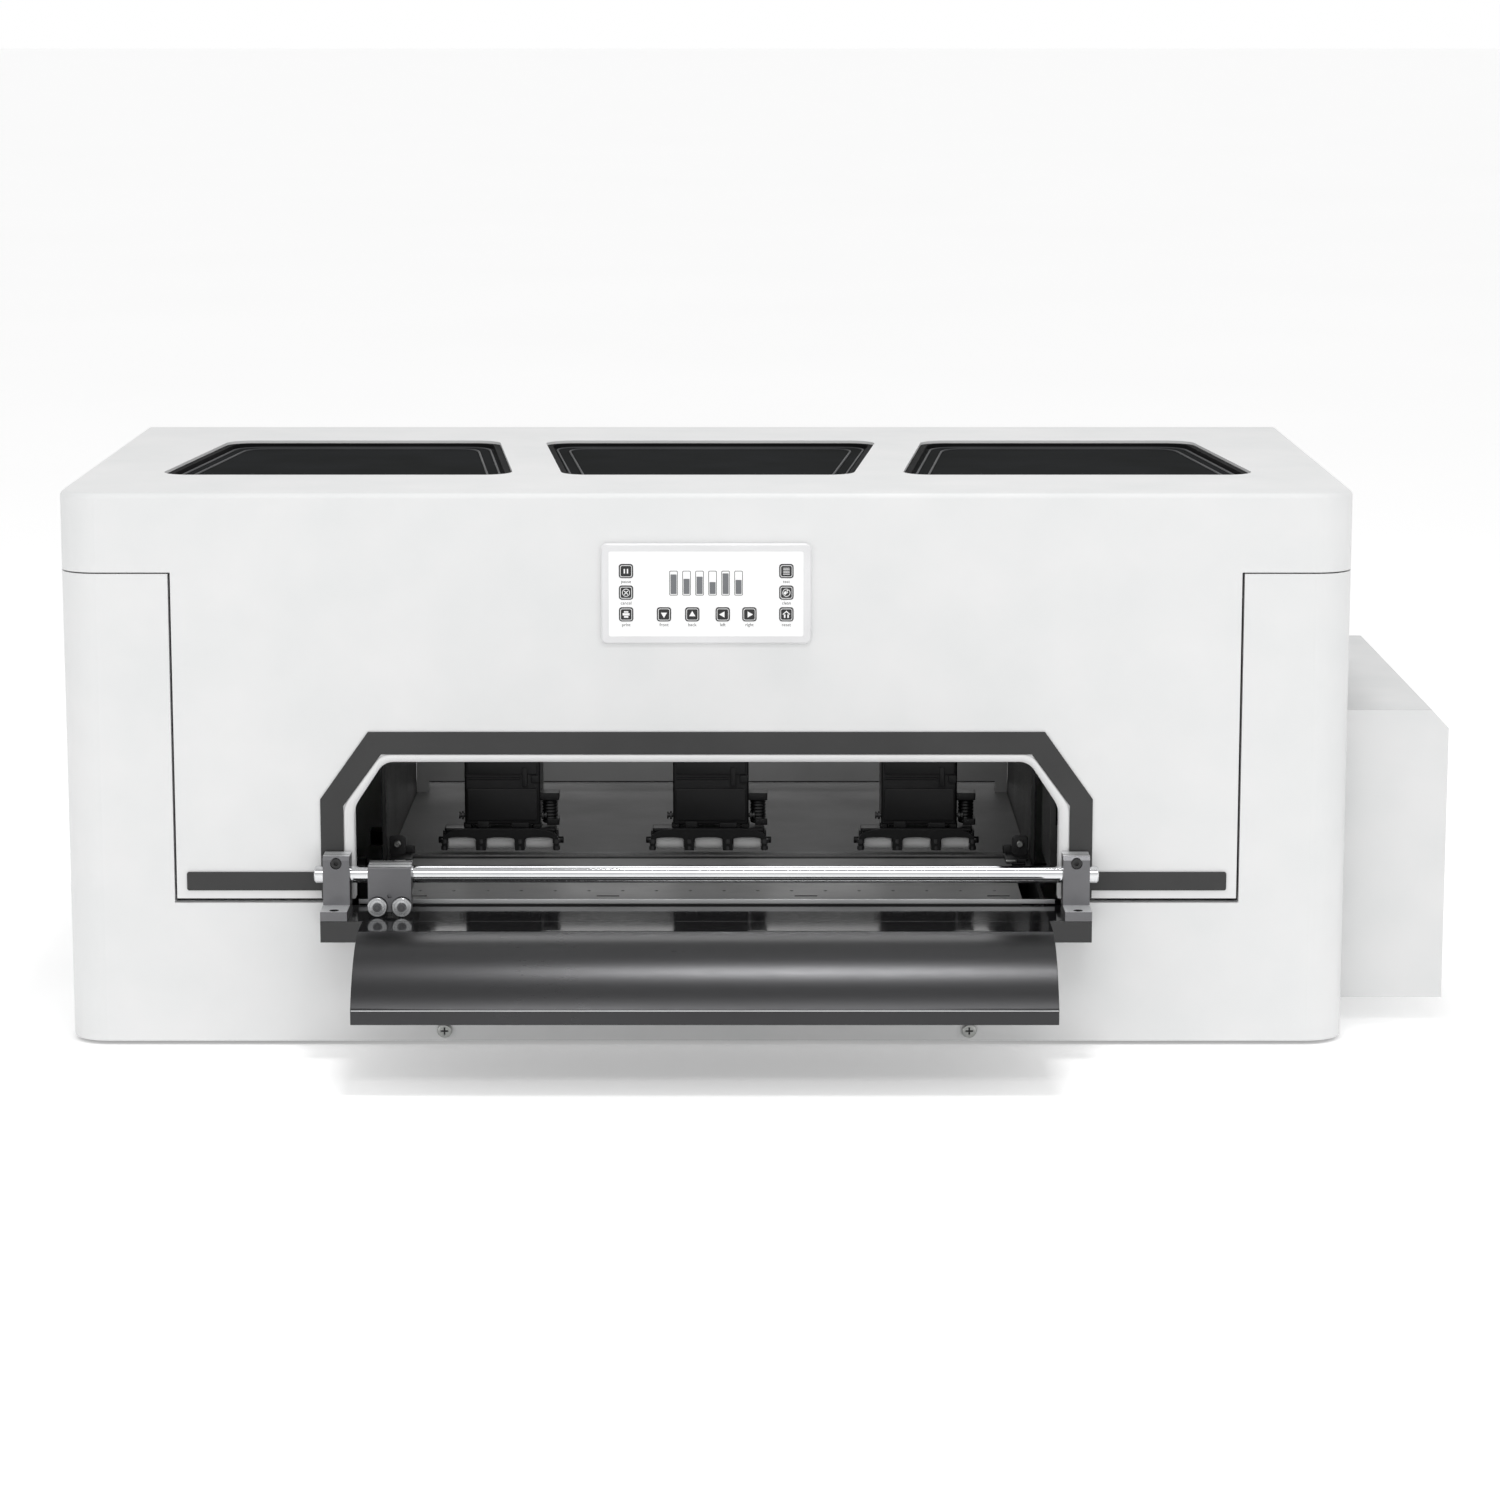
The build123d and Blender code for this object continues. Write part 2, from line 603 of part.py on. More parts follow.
def shaft_support(side):
    x0, x1 = support_x(side)
    y0, y1 = FRONT + SUPPORT_FRONT, FRONT + SUPPORT_BACK
    top = FOOT_H + SUPPORT_TOP_H
    foot_y = FRONT + SHELF_FRONT
    foot_z = SHELF_TOP + SUPPORT_FOOT_T
    outline = [(y1, SHELF_TOP), (y1, top), (y0 + 2.5, top), (y0, top - 2.5), (y0, foot_z), (foot_y, foot_z)]
    body = slab_yz(outline + [(foot_y, SHELF_TOP)], x0, x1)
    xm = (x0 + x1) / 2
    body -= rod_x(ROD_R + 0.02, x0 - 1, x1 + 1, ROD_Y, ROD_Z)
    body -= block(x0 - 1, x1 + 1, ROD_Y - 0.6, ROD_Y + 0.6, ROD_Z + ROD_R - 0.5, top + 1)
    body -= rod_y(2.25, xm, y0 - 1, y1 + 1, clamp_z())
    body -= rod_y(4.0, xm, y0 - 1, y0 + 4.2, clamp_z())
    return body - rod_z(3.3, xm, foot_y + 5.5, SHELF_TOP - 1, foot_z + 1)


def clamp_z():
    return ROD_Z + ROD_R + 3.4


def support_screws():
    screws = []
    for side in (-1, 1):
        xm = sum(support_x(side)) / 2
        y0 = FRONT + SUPPORT_FRONT
        head = rod_y(3.5, xm, y0 + 0.4, y0 + 4.2, clamp_z())
        socket = extrude(Plane.XZ.offset(-y0 - 2.4) * Pos(xm, clamp_z()) * RegularPolygon(1.7, 6), amount=3)
        screws.append(head + rod_y(2.0, xm, y0 + 4.1, y0 + 17, clamp_z()) - socket)
    return Compound(children=screws)


def cutter_rail():
    rod = rod_x(ROD_R, -ROD_HALF_L, ROD_HALF_L, ROD_Y, ROD_Z)
    return chamfer(rod.edges().filter_by(GeomType.CIRCLE), 0.8)


def cutter_roller_places():
    return [CUT_X + s * CUT_ROLLER_PITCH / 2 for s in (-1, 1)]


def cutter_roller_z():
    return SHELF_TOP + ROLL_GAP + CUT_ROLLER_R


def cutter_block():
    x0, x1 = CUT_X - CUT_W / 2, CUT_X + CUT_W / 2
    y0 = FRONT + CUT_FRONT
    top = FOOT_H + CUT_TOP_H
    z = cutter_roller_z()
    roller_y0 = y0 - 3
    body = block(x0, x1, y0, ROD_Y - ROD_R, z - 3.6, top)
    body = fillet(body.edges().filter_by(Axis.X).group_by(Axis.Z)[-1], 1.5)
    body += rod_x(ROD_R + 3.5, x0, x1, ROD_Y, ROD_Z)
    body += block(x0, x1, ROD_Y - ROD_R - 1, ROD_Y, ROD_Z, ROD_Z + ROD_R + 3)
    body -= rod_x(ROD_R + RUN_FIT, x0 - 1, x1 + 1, ROD_Y, ROD_Z)
    for x in cutter_roller_places():
        body -= rod_y(CUT_ROLLER_R + 0.6, x, roller_y0 - 1, roller_y0 + CUT_ROLLER_T + 0.4, z)
        body += rod_y(CUT_AXLE_R, x, roller_y0 - 0.4, y0 + 8, z)
        body += rod_y(CUT_AXLE_R + 1, x, roller_y0 - 1.2, roller_y0 - 0.4, z)
    return body - rod_y(1.6, CUT_X, y0 - 1, y0 + 3, z + 7.5)


def cutter_roller(x):
    y0 = FRONT + CUT_FRONT - 3
    ring = rod_y(CUT_ROLLER_R, x, y0, y0 + CUT_ROLLER_T, cutter_roller_z())
    ring = fillet(ring.edges().filter_by(GeomType.CIRCLE), 0.4)
    return ring - rod_y(CUT_AXLE_R + RUN_FIT, x, y0 - 1, y0 + CUT_ROLLER_T + 1, cutter_roller_z())


def cutter_blade():
    """Thin blade under the rod, behind the block, its edge just above the shelf."""
    y0 = ROD_Y - ROD_R
    tip = SHELF_TOP + ROLL_GAP
    outline = [(y0, tip + 14), (y0, tip + 2), (y0 + 5, tip), (y0 + 11, tip + 9), (y0 + 11, tip + 14)]
    return slab_yz(outline, CUT_X - 0.25, CUT_X + 0.25)


# ------------------------------------------------------------------ carriage
def carriage_beam():
    x = BEAM_HALF_L
    y0, y1, z0, z1 = BEAM_Y0, BEAM_Y0 + BEAM_SIDE, BEAM_Z0, BEAM_Z0 + BEAM_SIDE
    beam = block(-x, x, y0, y1, z0, z1) - block(-x - 1, x + 1, y0 + 4, y1 - 4, z0 + 4, z1 - 4)
    for k in (15.0, 45.0):
        beam -= block(-x - 1, x + 1, y0 + k - 4, y0 + k + 4, z0 - 1, z0 + 2.5)
        beam -= block(-x - 1, x + 1, y1 - 2.5, y1 + 1, z0 + k - 4, z0 + k + 4)
    beam += block(PULLEY_X - 10, PULLEY_X + 10, BELT_Y - 8, y0 + 1, z1 - 3, z1)
    return beam + rod_z(2.5, PULLEY_X, BELT_Y, BELT_Z - 6, z1 - 1)


def carriage_rail():
    x = BEAM_HALF_L - 10
    rail = block(-x, x, BEAM_Y0 - RAIL_T, BEAM_Y0, RAIL_Z - RAIL_W / 2, RAIL_Z + RAIL_W / 2)
    for s in (-1, 1):
        z = RAIL_Z + s * RAIL_W / 2
        rail -= block(-x - 1, x + 1, BEAM_Y0 - 5.5, BEAM_Y0 - 2.5, z - 1, z + 1)
    return rail


def pulley(x, z_low):
    wheel = rod_z(PULLEY_R, x, BELT_Y, z_low, z_low + BELT_W + 1.2)
    for z in (z_low - 1, z_low + BELT_W + 1.2):
        wheel += rod_z(PULLEY_R + 2.5, x, BELT_Y, z, z + 1)
    return wheel - rod_z(2.5 + RUN_FIT, x, BELT_Y, z_low - 3, z_low + 12)


def carriage_belt():
    inner = PULLEY_R + 0.3
    loop = SlotCenterToCenter(2 * PULLEY_X, 2 * (inner + BELT_T)) - SlotCenterToCenter(2 * PULLEY_X, 2 * inner)
    return extrude(Pos(0, BELT_Y, BELT_Z - BELT_W / 2) * loop, amount=BELT_W)


def belt_motor():
    z0 = BEAM_Z0 + BEAM_SIDE
    x0, x1 = -PULLEY_X - 21, -PULLEY_X + 21
    body = block(x0, x1, BELT_Y - 21, BELT_Y + 21, z0 + 3, z0 + 43)
    body = chamfer(body.edges().filter_by(Axis.Z), 3)
    body += block(x0, x1, BELT_Y - 21, BEAM_Y0 + 40, z0, z0 + 3.1)
    return body + rod_z(2.5, -PULLEY_X, BELT_Y, BELT_Z - 6, z0 + 1)


def head_boxes(grow):
    boxes = []
    for k in (-20.0, 22.0):
        x = CARRIAGE_X + k
        boxes.append((x - 13 - grow, x + 13 + grow, BEAM_Y0 - 127 - grow, BEAM_Y0 - 69 + grow))
    return boxes


def carriage_frame():
    """Open tray in front of the beam, with the bearing block on the rail."""
    x0, x1 = CARRIAGE_X - CARRIAGE_W / 2, CARRIAGE_X + CARRIAGE_W / 2
    yb = BEAM_Y0 - 42
    yf = BEAM_Y0 - 142
    z0 = HEAD_Z + 5.5
    body = block(x0, x1, yb - 4, yb, z0, BEAM_Z0 + 85)
    body += block(x0, x1, yf, yb, z0, z0 + 3)
    body += block(x0, x1, yf, yf + 3, z0, z0 + 70)
    for xa in (x0, x1 - 3):
        body += slab_yz([(yf, z0), (yb, z0), (yb, BEAM_Z0 + 85), (yb - 30, BEAM_Z0 + 85), (yf, z0 + 70)], xa, xa + 3)
    body += block(x0 + 20, x1 - 20, yb - 1, BEAM_Y0 - 2, RAIL_Z - 16, RAIL_Z + 14)
    body -= block(x0, x1, BEAM_Y0 - RAIL_T - BODY_GAP, BEAM_Y0, RAIL_Z - 6 - BODY_GAP, RAIL_Z + 6 + BODY_GAP)
    body -= [block(*b, z0 - 1, z0 + 4) for b in head_boxes(0.4)]
    return body


def print_heads():
    solids = []
    for x0, x1, y0, y1 in head_boxes(0):
        head = block(x0, x1, y0, y1, HEAD_Z + 3, HEAD_Z + 48)
        head += block(x0 + 4, x1 - 4, y0 + 6, y1 - 6, HEAD_Z, HEAD_Z + 4)
        head += block(x0 - 2, x1 + 2, y0 - 3, y1 + 3, HEAD_Z + 12, HEAD_Z + 16)
        solids.append(head)
        for k in range(3):
            y = y0 + 3 + 19 * k
            damper = block(x0 + 3, x1 - 3, y, y + 14, HEAD_Z + 48, HEAD_Z + 76)
            solids.append(damper + rod_z(2.2, (x0 + x1) / 2, y + 7, HEAD_Z + 75, HEAD_Z + 84))
    return Compound(children=solids)


def uv_lamp():
    x1 = CARRIAGE_X - CARRIAGE_W / 2
    x0 = x1 - 42
    y0, y1 = BEAM_Y0 - 137, BEAM_Y0 - 52
    z0 = HEAD_Z + 10
    body = block(x0, x1, y0, y1, z0, z0 + 60)
    body -= block(x0 + 6, x1 - 6, y0 + 6, y1 - 6, z0 - 1, z0 + 4)
    for i in range(7):
        body -= block(x0 + 4 + 5.5 * i, x0 + 7 + 5.5 * i, y0 - 1, y1 + 1, z0 + 34, z0 + 61)
    return body


def capping_base():
    x0, x1 = CARRIAGE_X - 42, CARRIAGE_X + 42
    y0, y1 = BEAM_Y0 - 130, BEAM_Y0 - 66
    body = block(x0, x1, y0, y1, FLOOR_TOP, HEAD_Z - 23)
    body -= [rod_z(3 + RUN_FIT, x, (y0 + y1) / 2, FLOOR_TOP + 12, HEAD_Z) for x in cap_rods()]
    return chamfer(body.edges().filter_by(Axis.Z), 3)


def cap_rods():
    return [CARRIAGE_X - 34, CARRIAGE_X + 34]


def capping_pads():
    """Tray with one open rubber-lipped cup under each print head, on two guide rods."""
    z = HEAD_Z - 12
    tray = block(CARRIAGE_X - 42, CARRIAGE_X + 42, BEAM_Y0 - 130, BEAM_Y0 - 66, z, z + 3)
    for x0, x1, y0, y1 in head_boxes(-1):
        tray += block(x0, x1, y0, y1, z + 2, HEAD_Z - 0.5)
        tray -= block(x0 + 3, x1 - 3, y0 + 3, y1 - 3, z + 6, HEAD_Z + 1)
    for x in cap_rods():
        tray += rod_z(3, x, BEAM_Y0 - 98, FLOOR_TOP + 34, z + 1)
    return tray


# ------------------------------------------------------------------ feed and pinch
def feed_roller():
    x1 = PLATEN_HALF_W
    roll = rod_x(FEED_R, -x1, x1, FEED_Y, FEED_Z)
    roll = chamfer(roll.edges().filter_by(GeomType.CIRCLE), 0.6)
    roll += rod_x(FEED_SHAFT_R, -262, 250, FEED_Y, FEED_Z)
    roll += rod_x(9, -272, -254, FEED_Y, FEED_Z)
    return roll - rod_x(2.5 + RUN_FIT, -273, -262, FEED_Y, FEED_Z)


def feed_motor():
    y0, y1, z0, z1 = FEED_Y - 21, FEED_Y + 21, FEED_Z - 21, FEED_Z + 21
    body = chamfer(block(-326, -278, y0, y1, z0, z1).edges().filter_by(Axis.X), 3)
    body += block(-278.5, -275, FEED_Y - 27, FEED_Y + 27, FLOOR_TOP, FEED_Z + 27)
    body += block(-320, -275, FEED_Y - 27, FEED_Y + 27, FLOOR_TOP, FLOOR_TOP + 3)
    return body + rod_x(2.5, -276, -263, FEED_Y, FEED_Z)


def pinch_unit(x):
    leg_x = PINCH_PITCH / 2
    body = block(x - 30, x + 30, PINCH_Y - 8, PIVOT_Y + 10, PINCH_Z + 18, PIVOT_Z + 17.8)
    body = chamfer(body.edges().filter_by(Axis.X).group_by(Axis.Z)[-1], 4)
    body += block(x - 45, x + 45, PINCH_Y - 11, PINCH_Y + 9, PINCH_Z + 11, PINCH_Z + 19)
    for k in (-3, -1, 1, 3):
        xc = x + k * leg_x - (0.25 if k > 0 else -0.25) * (abs(k) - 1) * 0.5
        body += block(xc - 2.3, xc + 2.3, PINCH_Y - 4.5, PINCH_Y + 4.5, PINCH_Z - 4, PINCH_Z + 12)
    body += rod_x(PINCH_AXLE_R, x - 46, x + 46, PINCH_Y, PINCH_Z)
    body += block(x + 30, x + 44, PINCH_Y - 4, PINCH_Y + 14, PINCH_Z + 18, PINCH_Z + 46)
    body += rod_y(6, x - 37, PINCH_Y - 2, PINCH_Y + 12, PINCH_Z + 27)
    body += block(x - 40, x - 29, PINCH_Y + 2, PINCH_Y + 10, PINCH_Z + 20, PINCH_Z + 27)
    return body - rod_x(PINCH_SHAFT_R + RUN_FIT, x - 50, x + 50, PIVOT_Y, PIVOT_Z)


def unit_places():
    return [-PINCH_PITCH_X, 0.0, PINCH_PITCH_X]


def pinch_arms():
    return Compound(children=[pinch_unit(x) for x in unit_places()])


def pinch_rollers():
    rollers = []
    for x in unit_places():
        for k in (-1, 0, 1):
            xc = x + k * PINCH_PITCH
            ring = rod_x(PINCH_R, xc - PINCH_W / 2, xc + PINCH_W / 2, PINCH_Y, PINCH_Z)
            ring = fillet(ring.edges().filter_by(GeomType.CIRCLE), 0.8)
            rollers.append(ring - rod_x(PINCH_AXLE_R + RUN_FIT, xc - 20, xc + 20, PINCH_Y, PINCH_Z))
    return Compound(children=rollers)


def pinch_lever():
    """Shaft through both side plates with the release lever on its right end."""
    shaft = rod_x(PINCH_SHAFT_R, -244, 250, PIVOT_Y, PIVOT_Z)
    lever = block(243, 249, -5, 5, 0, 52) + rod_x(8, 243, 249, 0, 0)
    lever += rod_x(7, 241.5, 250.5, 0, 55)
    return shaft + Pos(0, PIVOT_Y, PIVOT_Z) * Rot(-PINCH_LEVER_LEAN, 0, 0) * lever


# ------------------------------------------------------------------ side box
def box_outline(inset):
    x1 = SIDE_X - inset
    z1 = SIDE_Z1 - inset
    cut = 0.42 * inset
    return [
        (HALF_W, SIDE_Z0 + inset),
        (x1, SIDE_Z0 + inset),
        (x1, z1 - BOX_CHAMFER_Z + cut),
        (x1 - BOX_CHAMFER_X + cut, z1),
        (HALF_W, z1),
    ]


def side_box_shell():
    lid_low = SIDE_Z1 - BOX_CHAMFER_Z - 12
    shell = slab_xz(box_outline(0), SIDE_Y0, SIDE_Y1)
    shell -= slab_xz(box_outline(WALL), SIDE_Y0 + WALL, SIDE_Y1 - WALL)
    shell -= block(HALF_W - 1, SIDE_X + 1, SIDE_Y0 + WALL, SIDE_Y1 - WALL, lid_low, SIDE_Z1 + 1)
    shell += block(HALF_W, HALF_W + 1.5, SIDE_Y0 + 3, SIDE_Y1 - 3, SIDE_Z0 + 1, SIDE_Z0 + 20)
    hinge = rod_y(0.8 + RUN_FIT, HALF_W + 2.6, SIDE_Y0 - 1, SIDE_Y1 + 1, SIDE_Z1 - 1.3)
    return shell - hinge


def side_box_lid():
    """Top, slanted edge and short skirt of the side box, on two stub pins."""
    lid_low = SIDE_Z1 - BOX_CHAMFER_Z - 12
    y0, y1 = SIDE_Y0 + WALL + 0.4, SIDE_Y1 - WALL - 0.4
    lid = slab_xz(box_outline(0), y0, y1) - slab_xz(box_outline(WALL), y0 - 1, y1 + 1)
    lid -= block(HALF_W - 1, SIDE_X + 1, y0 - 1, y1 + 1, SIDE_Z0 - 1, lid_low + 0.4)
    lid -= block(HALF_W - 1, HALF_W + 0.8, y0 - 1, y1 + 1, SIDE_Z0 - 1, SIDE_Z1 + 1)
    x, z = HALF_W + 2.6, SIDE_Z1 - 1.3
    for ya, yb in ((y0 - 2.0, y0 + 4), (y1 - 4, y1 + 2.0)):
        lid += rod_y(0.8, x, ya, yb, z)
    return lid


def bottle_places():
    middle = (SIDE_Y0 + SIDE_Y1) / 2
    return [middle + (i - (BOTTLES - 1) / 2) * BOTTLE_PITCH for i in range(BOTTLES)]


def ink_bottles():
    solids = []
    x = HALF_W + 36
    z0 = SIDE_Z0 + WALL
    for y in bottle_places():
        body = fillet(rod_z(BOTTLE_R, x, y, z0, z0 + BOTTLE_H).edges().filter_by(GeomType.CIRCLE), 4)
        solids.append(body + rod_z(11, x, y, z0 + BOTTLE_H - 1, z0 + BOTTLE_H + 12))
    return Compound(children=solids)


def ink_caps():
    solids = []
    x = HALF_W + 36
    z0 = SIDE_Z0 + WALL + BOTTLE_H + 2
    for y in bottle_places():
        cap = rod_z(14, x, y, z0, z0 + 17) - rod_z(11 + RUN_FIT, x, y, z0 - 1, z0 + 10)
        solids.append(fillet(cap.edges().filter_by(GeomType.CIRCLE).sort_by(Axis.Z)[-1], 1.5))
    return Compound(children=solids)


# ------------------------------------------------------------------ electrics
def power_supply():
    body = block(-404, -284, 0, 190, FLOOR_TOP, FLOOR_TOP + 50)
    holes = []
    for i in range(8):
        for j in range(12):
            holes.append(rod_z(3, -386 + 12 * i, 20 + 12 * j, FLOOR_TOP + 48, FLOOR_TOP + 51))
    return body - holes


def mainboard():
    z = FLOOR_TOP + 10
    board = block(-404, -290, -200, -30, z, z + 1.6)
    for x in (-398.0, -296.0):
        for y in (-194.0, -36.0):
            board += rod_z(3, x, y, FLOOR_TOP, z + 0.1)
    board += block(-372, -342, -130, -100, z + 1.5, z + 4)
    board += block(-372, -342, -128, -102, z + 3.9, z + 14)
    for i in range(5):
        board += block(-400 + 22 * i, -384 + 22 * i, -60, -48, z + 1.5, z + 12)
        board += rod_z(4, -330, -190 + 22 * i, z + 1.5, z + 13)
    return board


def rear_ports():
    """Mains inlet, data socket and the switch frame, set in the rear wall."""
    inlet = block(INLET_X - 25, INLET_X + 25, BACK, BACK + 3, PORT_Z - 12, PORT_Z + 12)
    inlet += block(INLET_X - 13.7, INLET_X + 13.7, BACK - 22, BACK + 0.5, PORT_Z - 9.7, PORT_Z + 9.7)
    inlet -= block(INLET_X - 11.5, INLET_X + 11.5, BACK - 14, BACK + 4, PORT_Z - 7.5, PORT_Z + 7.5)
    for k, z in ((-7, -2), (0, 2), (7, -2)):
        x = INLET_X + k
        inlet += block(x - 1, x + 1, BACK - 15, BACK - 1, PORT_Z + z - 2, PORT_Z + z + 2)
    inlet = inlet - [rod_y(1.7, INLET_X + s * 20, BACK - 1, BACK + 4, PORT_Z) for s in (-1, 1)]
    usb = block(USB_X - 8, USB_X + 8, BACK, BACK + 1, PORT_Z - 7.5, PORT_Z + 7.5)
    usb += block(USB_X - 6, USB_X + 6, BACK - 16, BACK + 0.5, PORT_Z - 5.5, PORT_Z + 5.5)
    usb -= block(USB_X - 4.5, USB_X + 4.5, BACK - 12, BACK + 2, PORT_Z - 4, PORT_Z + 4)
    usb += block(USB_X - 3, USB_X + 3, BACK - 13, BACK - 2, PORT_Z - 1.5, PORT_Z + 1.5)
    frame = block(SWITCH_X - 12, SWITCH_X + 12, BACK, BACK + 2.5, PORT_Z - 16, PORT_Z + 16)
    frame += block(SWITCH_X - 9.3, SWITCH_X + 9.3, BACK - 20, BACK + 0.5, PORT_Z - 12.8, PORT_Z + 12.8)
    frame -= block(SWITCH_X - 7.5, SWITCH_X + 7.5, BACK - 12, BACK + 4, PORT_Z - 11, PORT_Z + 11)
    frame += rod_x(1.5, SWITCH_X - 8, SWITCH_X + 8, BACK - 3, PORT_Z)
    return Compound(children=[inlet, usb, frame])


def rocker_switch():
    y, z = BACK - 3, PORT_Z
    body = slab_yz(
        [(y - 4, z - 4), (y - 4, z + 4), (y + 3, z + 9.8), (y + 7.5, z + 9), (y + 5.5, z), (y + 7.5, z - 9), (y + 3, z - 9.8)],
        SWITCH_X - 7,
        SWITCH_X + 7,
    )
    body = Pos(0, y, z) * Rot(ROCKER_TILT, 0, 0) * Pos(0, -y, -z) * body
    return body - rod_x(1.5 + RUN_FIT, SWITCH_X - 9, SWITCH_X + 9, y, z)


def all_parts():
    parts = {
        "lower_case": lower_case(),
        "base_plate": base_plate(),
        "rubber_feet": rubber_feet(),
        "case_screws": case_screws(),
        "beam_end_plates": beam_end_plates(),
        "inner_side_plates": inner_side_plates(),
        "top_cover": top_cover(),
        "window_gaskets": window_gaskets(),
        "window_panes": window_panes(),
        "arch_trim": arch_trim(),
        "panel_bezel": panel_bezel(),
        "panel_face": panel_face(),
        "cover_arms": cover_arms(),
        "vacuum_platen": vacuum_platen(),
        "vacuum_box": vacuum_box(),
        "rear_film_guide": rear_film_guide(),
        "output_shelf": output_shelf(),
        "heated_apron": heated_apron(),
        "shaft_support_left": shaft_support(-1),
        "shaft_support_right": shaft_support(1),
        "support_screws": support_screws(),
        "cutter_rail": cutter_rail(),
        "cutter_block": cutter_block(),
        "cutter_blade": cutter_blade(),
        "cutter_roller_left": cutter_roller(cutter_roller_places()[0]),
        "cutter_roller_right": cutter_roller(cutter_roller_places()[1]),
        "carriage_beam": carriage_beam(),
        "carriage_rail": carriage_rail(),
        "carriage_belt": carriage_belt(),
        "belt_motor": belt_motor(),
        "motor_pulley": pulley(-PULLEY_X, BELT_Z - 3.6),
        "idler_pulley": pulley(PULLEY_X, BELT_Z - 3.6),
        "carriage_frame": carriage_frame(),
        "print_heads": print_heads(),
        "uv_lamp": uv_lamp(),
        "capping_base": capping_base(),
        "capping_pads": capping_pads(),
        "feed_roller": feed_roller(),
        "feed_motor": feed_motor(),
        "pinch_arms": pinch_arms(),
        "pinch_rollers": pinch_rollers(),
        "pinch_lever": pinch_lever(),
        "side_box_shell": side_box_shell(),
        "side_box_lid": side_box_lid(),
        "ink_bottles": ink_bottles(),
        "ink_caps": ink_caps(),
        "power_supply": power_supply(),
        "mainboard": mainboard(),
        "rear_ports": rear_ports(),
        "rocker_switch": rocker_switch(),
    }
    for name, x, z in key_places():
        parts["key_" + name] = control_key(x, z)
    return parts


os.makedirs("parts", exist_ok=True)
for node, solid in all_parts().items():
    export_step(solid, "parts/" + node + ".step")
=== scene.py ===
"""Looks for a roll-fed UV film printer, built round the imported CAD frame. Metres, +Z up, the front faces -Y."""
import json
import math

import bmesh
import bpy
import numpy as np
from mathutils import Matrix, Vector


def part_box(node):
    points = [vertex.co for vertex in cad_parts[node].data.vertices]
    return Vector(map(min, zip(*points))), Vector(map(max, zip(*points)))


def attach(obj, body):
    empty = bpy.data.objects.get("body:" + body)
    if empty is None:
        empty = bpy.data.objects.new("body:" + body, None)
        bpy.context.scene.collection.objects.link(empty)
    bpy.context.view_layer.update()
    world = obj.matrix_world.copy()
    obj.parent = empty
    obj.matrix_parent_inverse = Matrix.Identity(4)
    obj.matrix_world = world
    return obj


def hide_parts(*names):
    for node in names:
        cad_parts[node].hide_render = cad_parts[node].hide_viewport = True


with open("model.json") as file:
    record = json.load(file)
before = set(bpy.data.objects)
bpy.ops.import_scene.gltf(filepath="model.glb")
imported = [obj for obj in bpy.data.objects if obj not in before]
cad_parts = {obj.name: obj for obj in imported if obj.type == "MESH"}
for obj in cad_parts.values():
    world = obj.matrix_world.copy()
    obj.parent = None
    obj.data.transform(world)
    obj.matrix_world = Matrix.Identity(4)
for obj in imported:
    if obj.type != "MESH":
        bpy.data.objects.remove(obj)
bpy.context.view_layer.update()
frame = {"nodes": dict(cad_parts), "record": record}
NODES = frame["nodes"]
MM = 0.001


def span(node):
    """Lowest and highest corner of a CAD node in millimetres."""
    low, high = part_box(node)
    return np.array(low) / MM, np.array(high) / MM


CASE_LOW, CASE_HIGH = span("top_cover")
FRONT = CASE_LOW[1]
BACK = CASE_HIGH[1]
SHELF_LOW, SHELF_HIGH = span("output_shelf")
APRON_LOW, APRON_HIGH = span("heated_apron")
ROD_LOW, ROD_HIGH = span("cutter_rail")
PLATEN_LOW, PLATEN_HIGH = span("vacuum_platen")
ROLLS_LOW, ROLLS_HIGH = span("pinch_rollers")
ARMS_LOW, ARMS_HIGH = span("pinch_arms")
BEZEL_LOW, BEZEL_HIGH = span("panel_bezel")
TRIM_BOTTOM = span("arch_trim")[0][2]

# Sizes in millimetres that the visible pieces share.
APRON_RADIUS = 80.0
APRON_TURN = math.radians(60)
APRON_FLAT = 28.0
SHEET = 2.0
ROD_RADIUS = 6.0
UNIT_X = (-152.6, 0.0, 152.6)
BAY_X = (-28.4, 0.0, 28.4)
LEG_X = (-41.0, -14.2, 14.2, 41.0)
BACK_SCREW_X = (-435, -220, 0, 220, 435)
BACK_SCREW_Z = (14, 322)


# ---------------------------------------------------------------- surfaces
def lathe(profile, centre, axis="z", turns=64):
    """Surface of revolution: a profile point (r, h) goes to centre + h along the axis + r times the unit circle."""
    profile = np.asarray(profile, float)
    angle = np.linspace(0, 2 * math.pi, turns, endpoint=False)
    r, h = profile[:, :1], profile[:, 1:]
    ring = np.stack([r * np.cos(angle), r * np.sin(angle), h + 0 * angle], -1)
    order = {"z": (0, 1, 2), "x": (2, 0, 1), "y": (0, 2, 1)}[axis]
    return ring[..., list(order)] + np.asarray(centre, float)


def rounded_loop(hx, hy, r, steps=8):
    """Rounded rectangle: four quarter circles of radius r at the corners of a rectangle of half size hx by hy."""
    r = min(r, hx, hy)
    quarter = np.linspace(0, math.pi / 2, steps)
    parts = []
    for k, (sx, sy) in enumerate(((1, 1), (-1, 1), (-1, -1), (1, -1))):
        a = quarter + k * math.pi / 2
        parts.append(np.stack([sx * (hx - r) + r * np.cos(a), sy * (hy - r) + r * np.sin(a)], -1))
    return np.concatenate(parts)


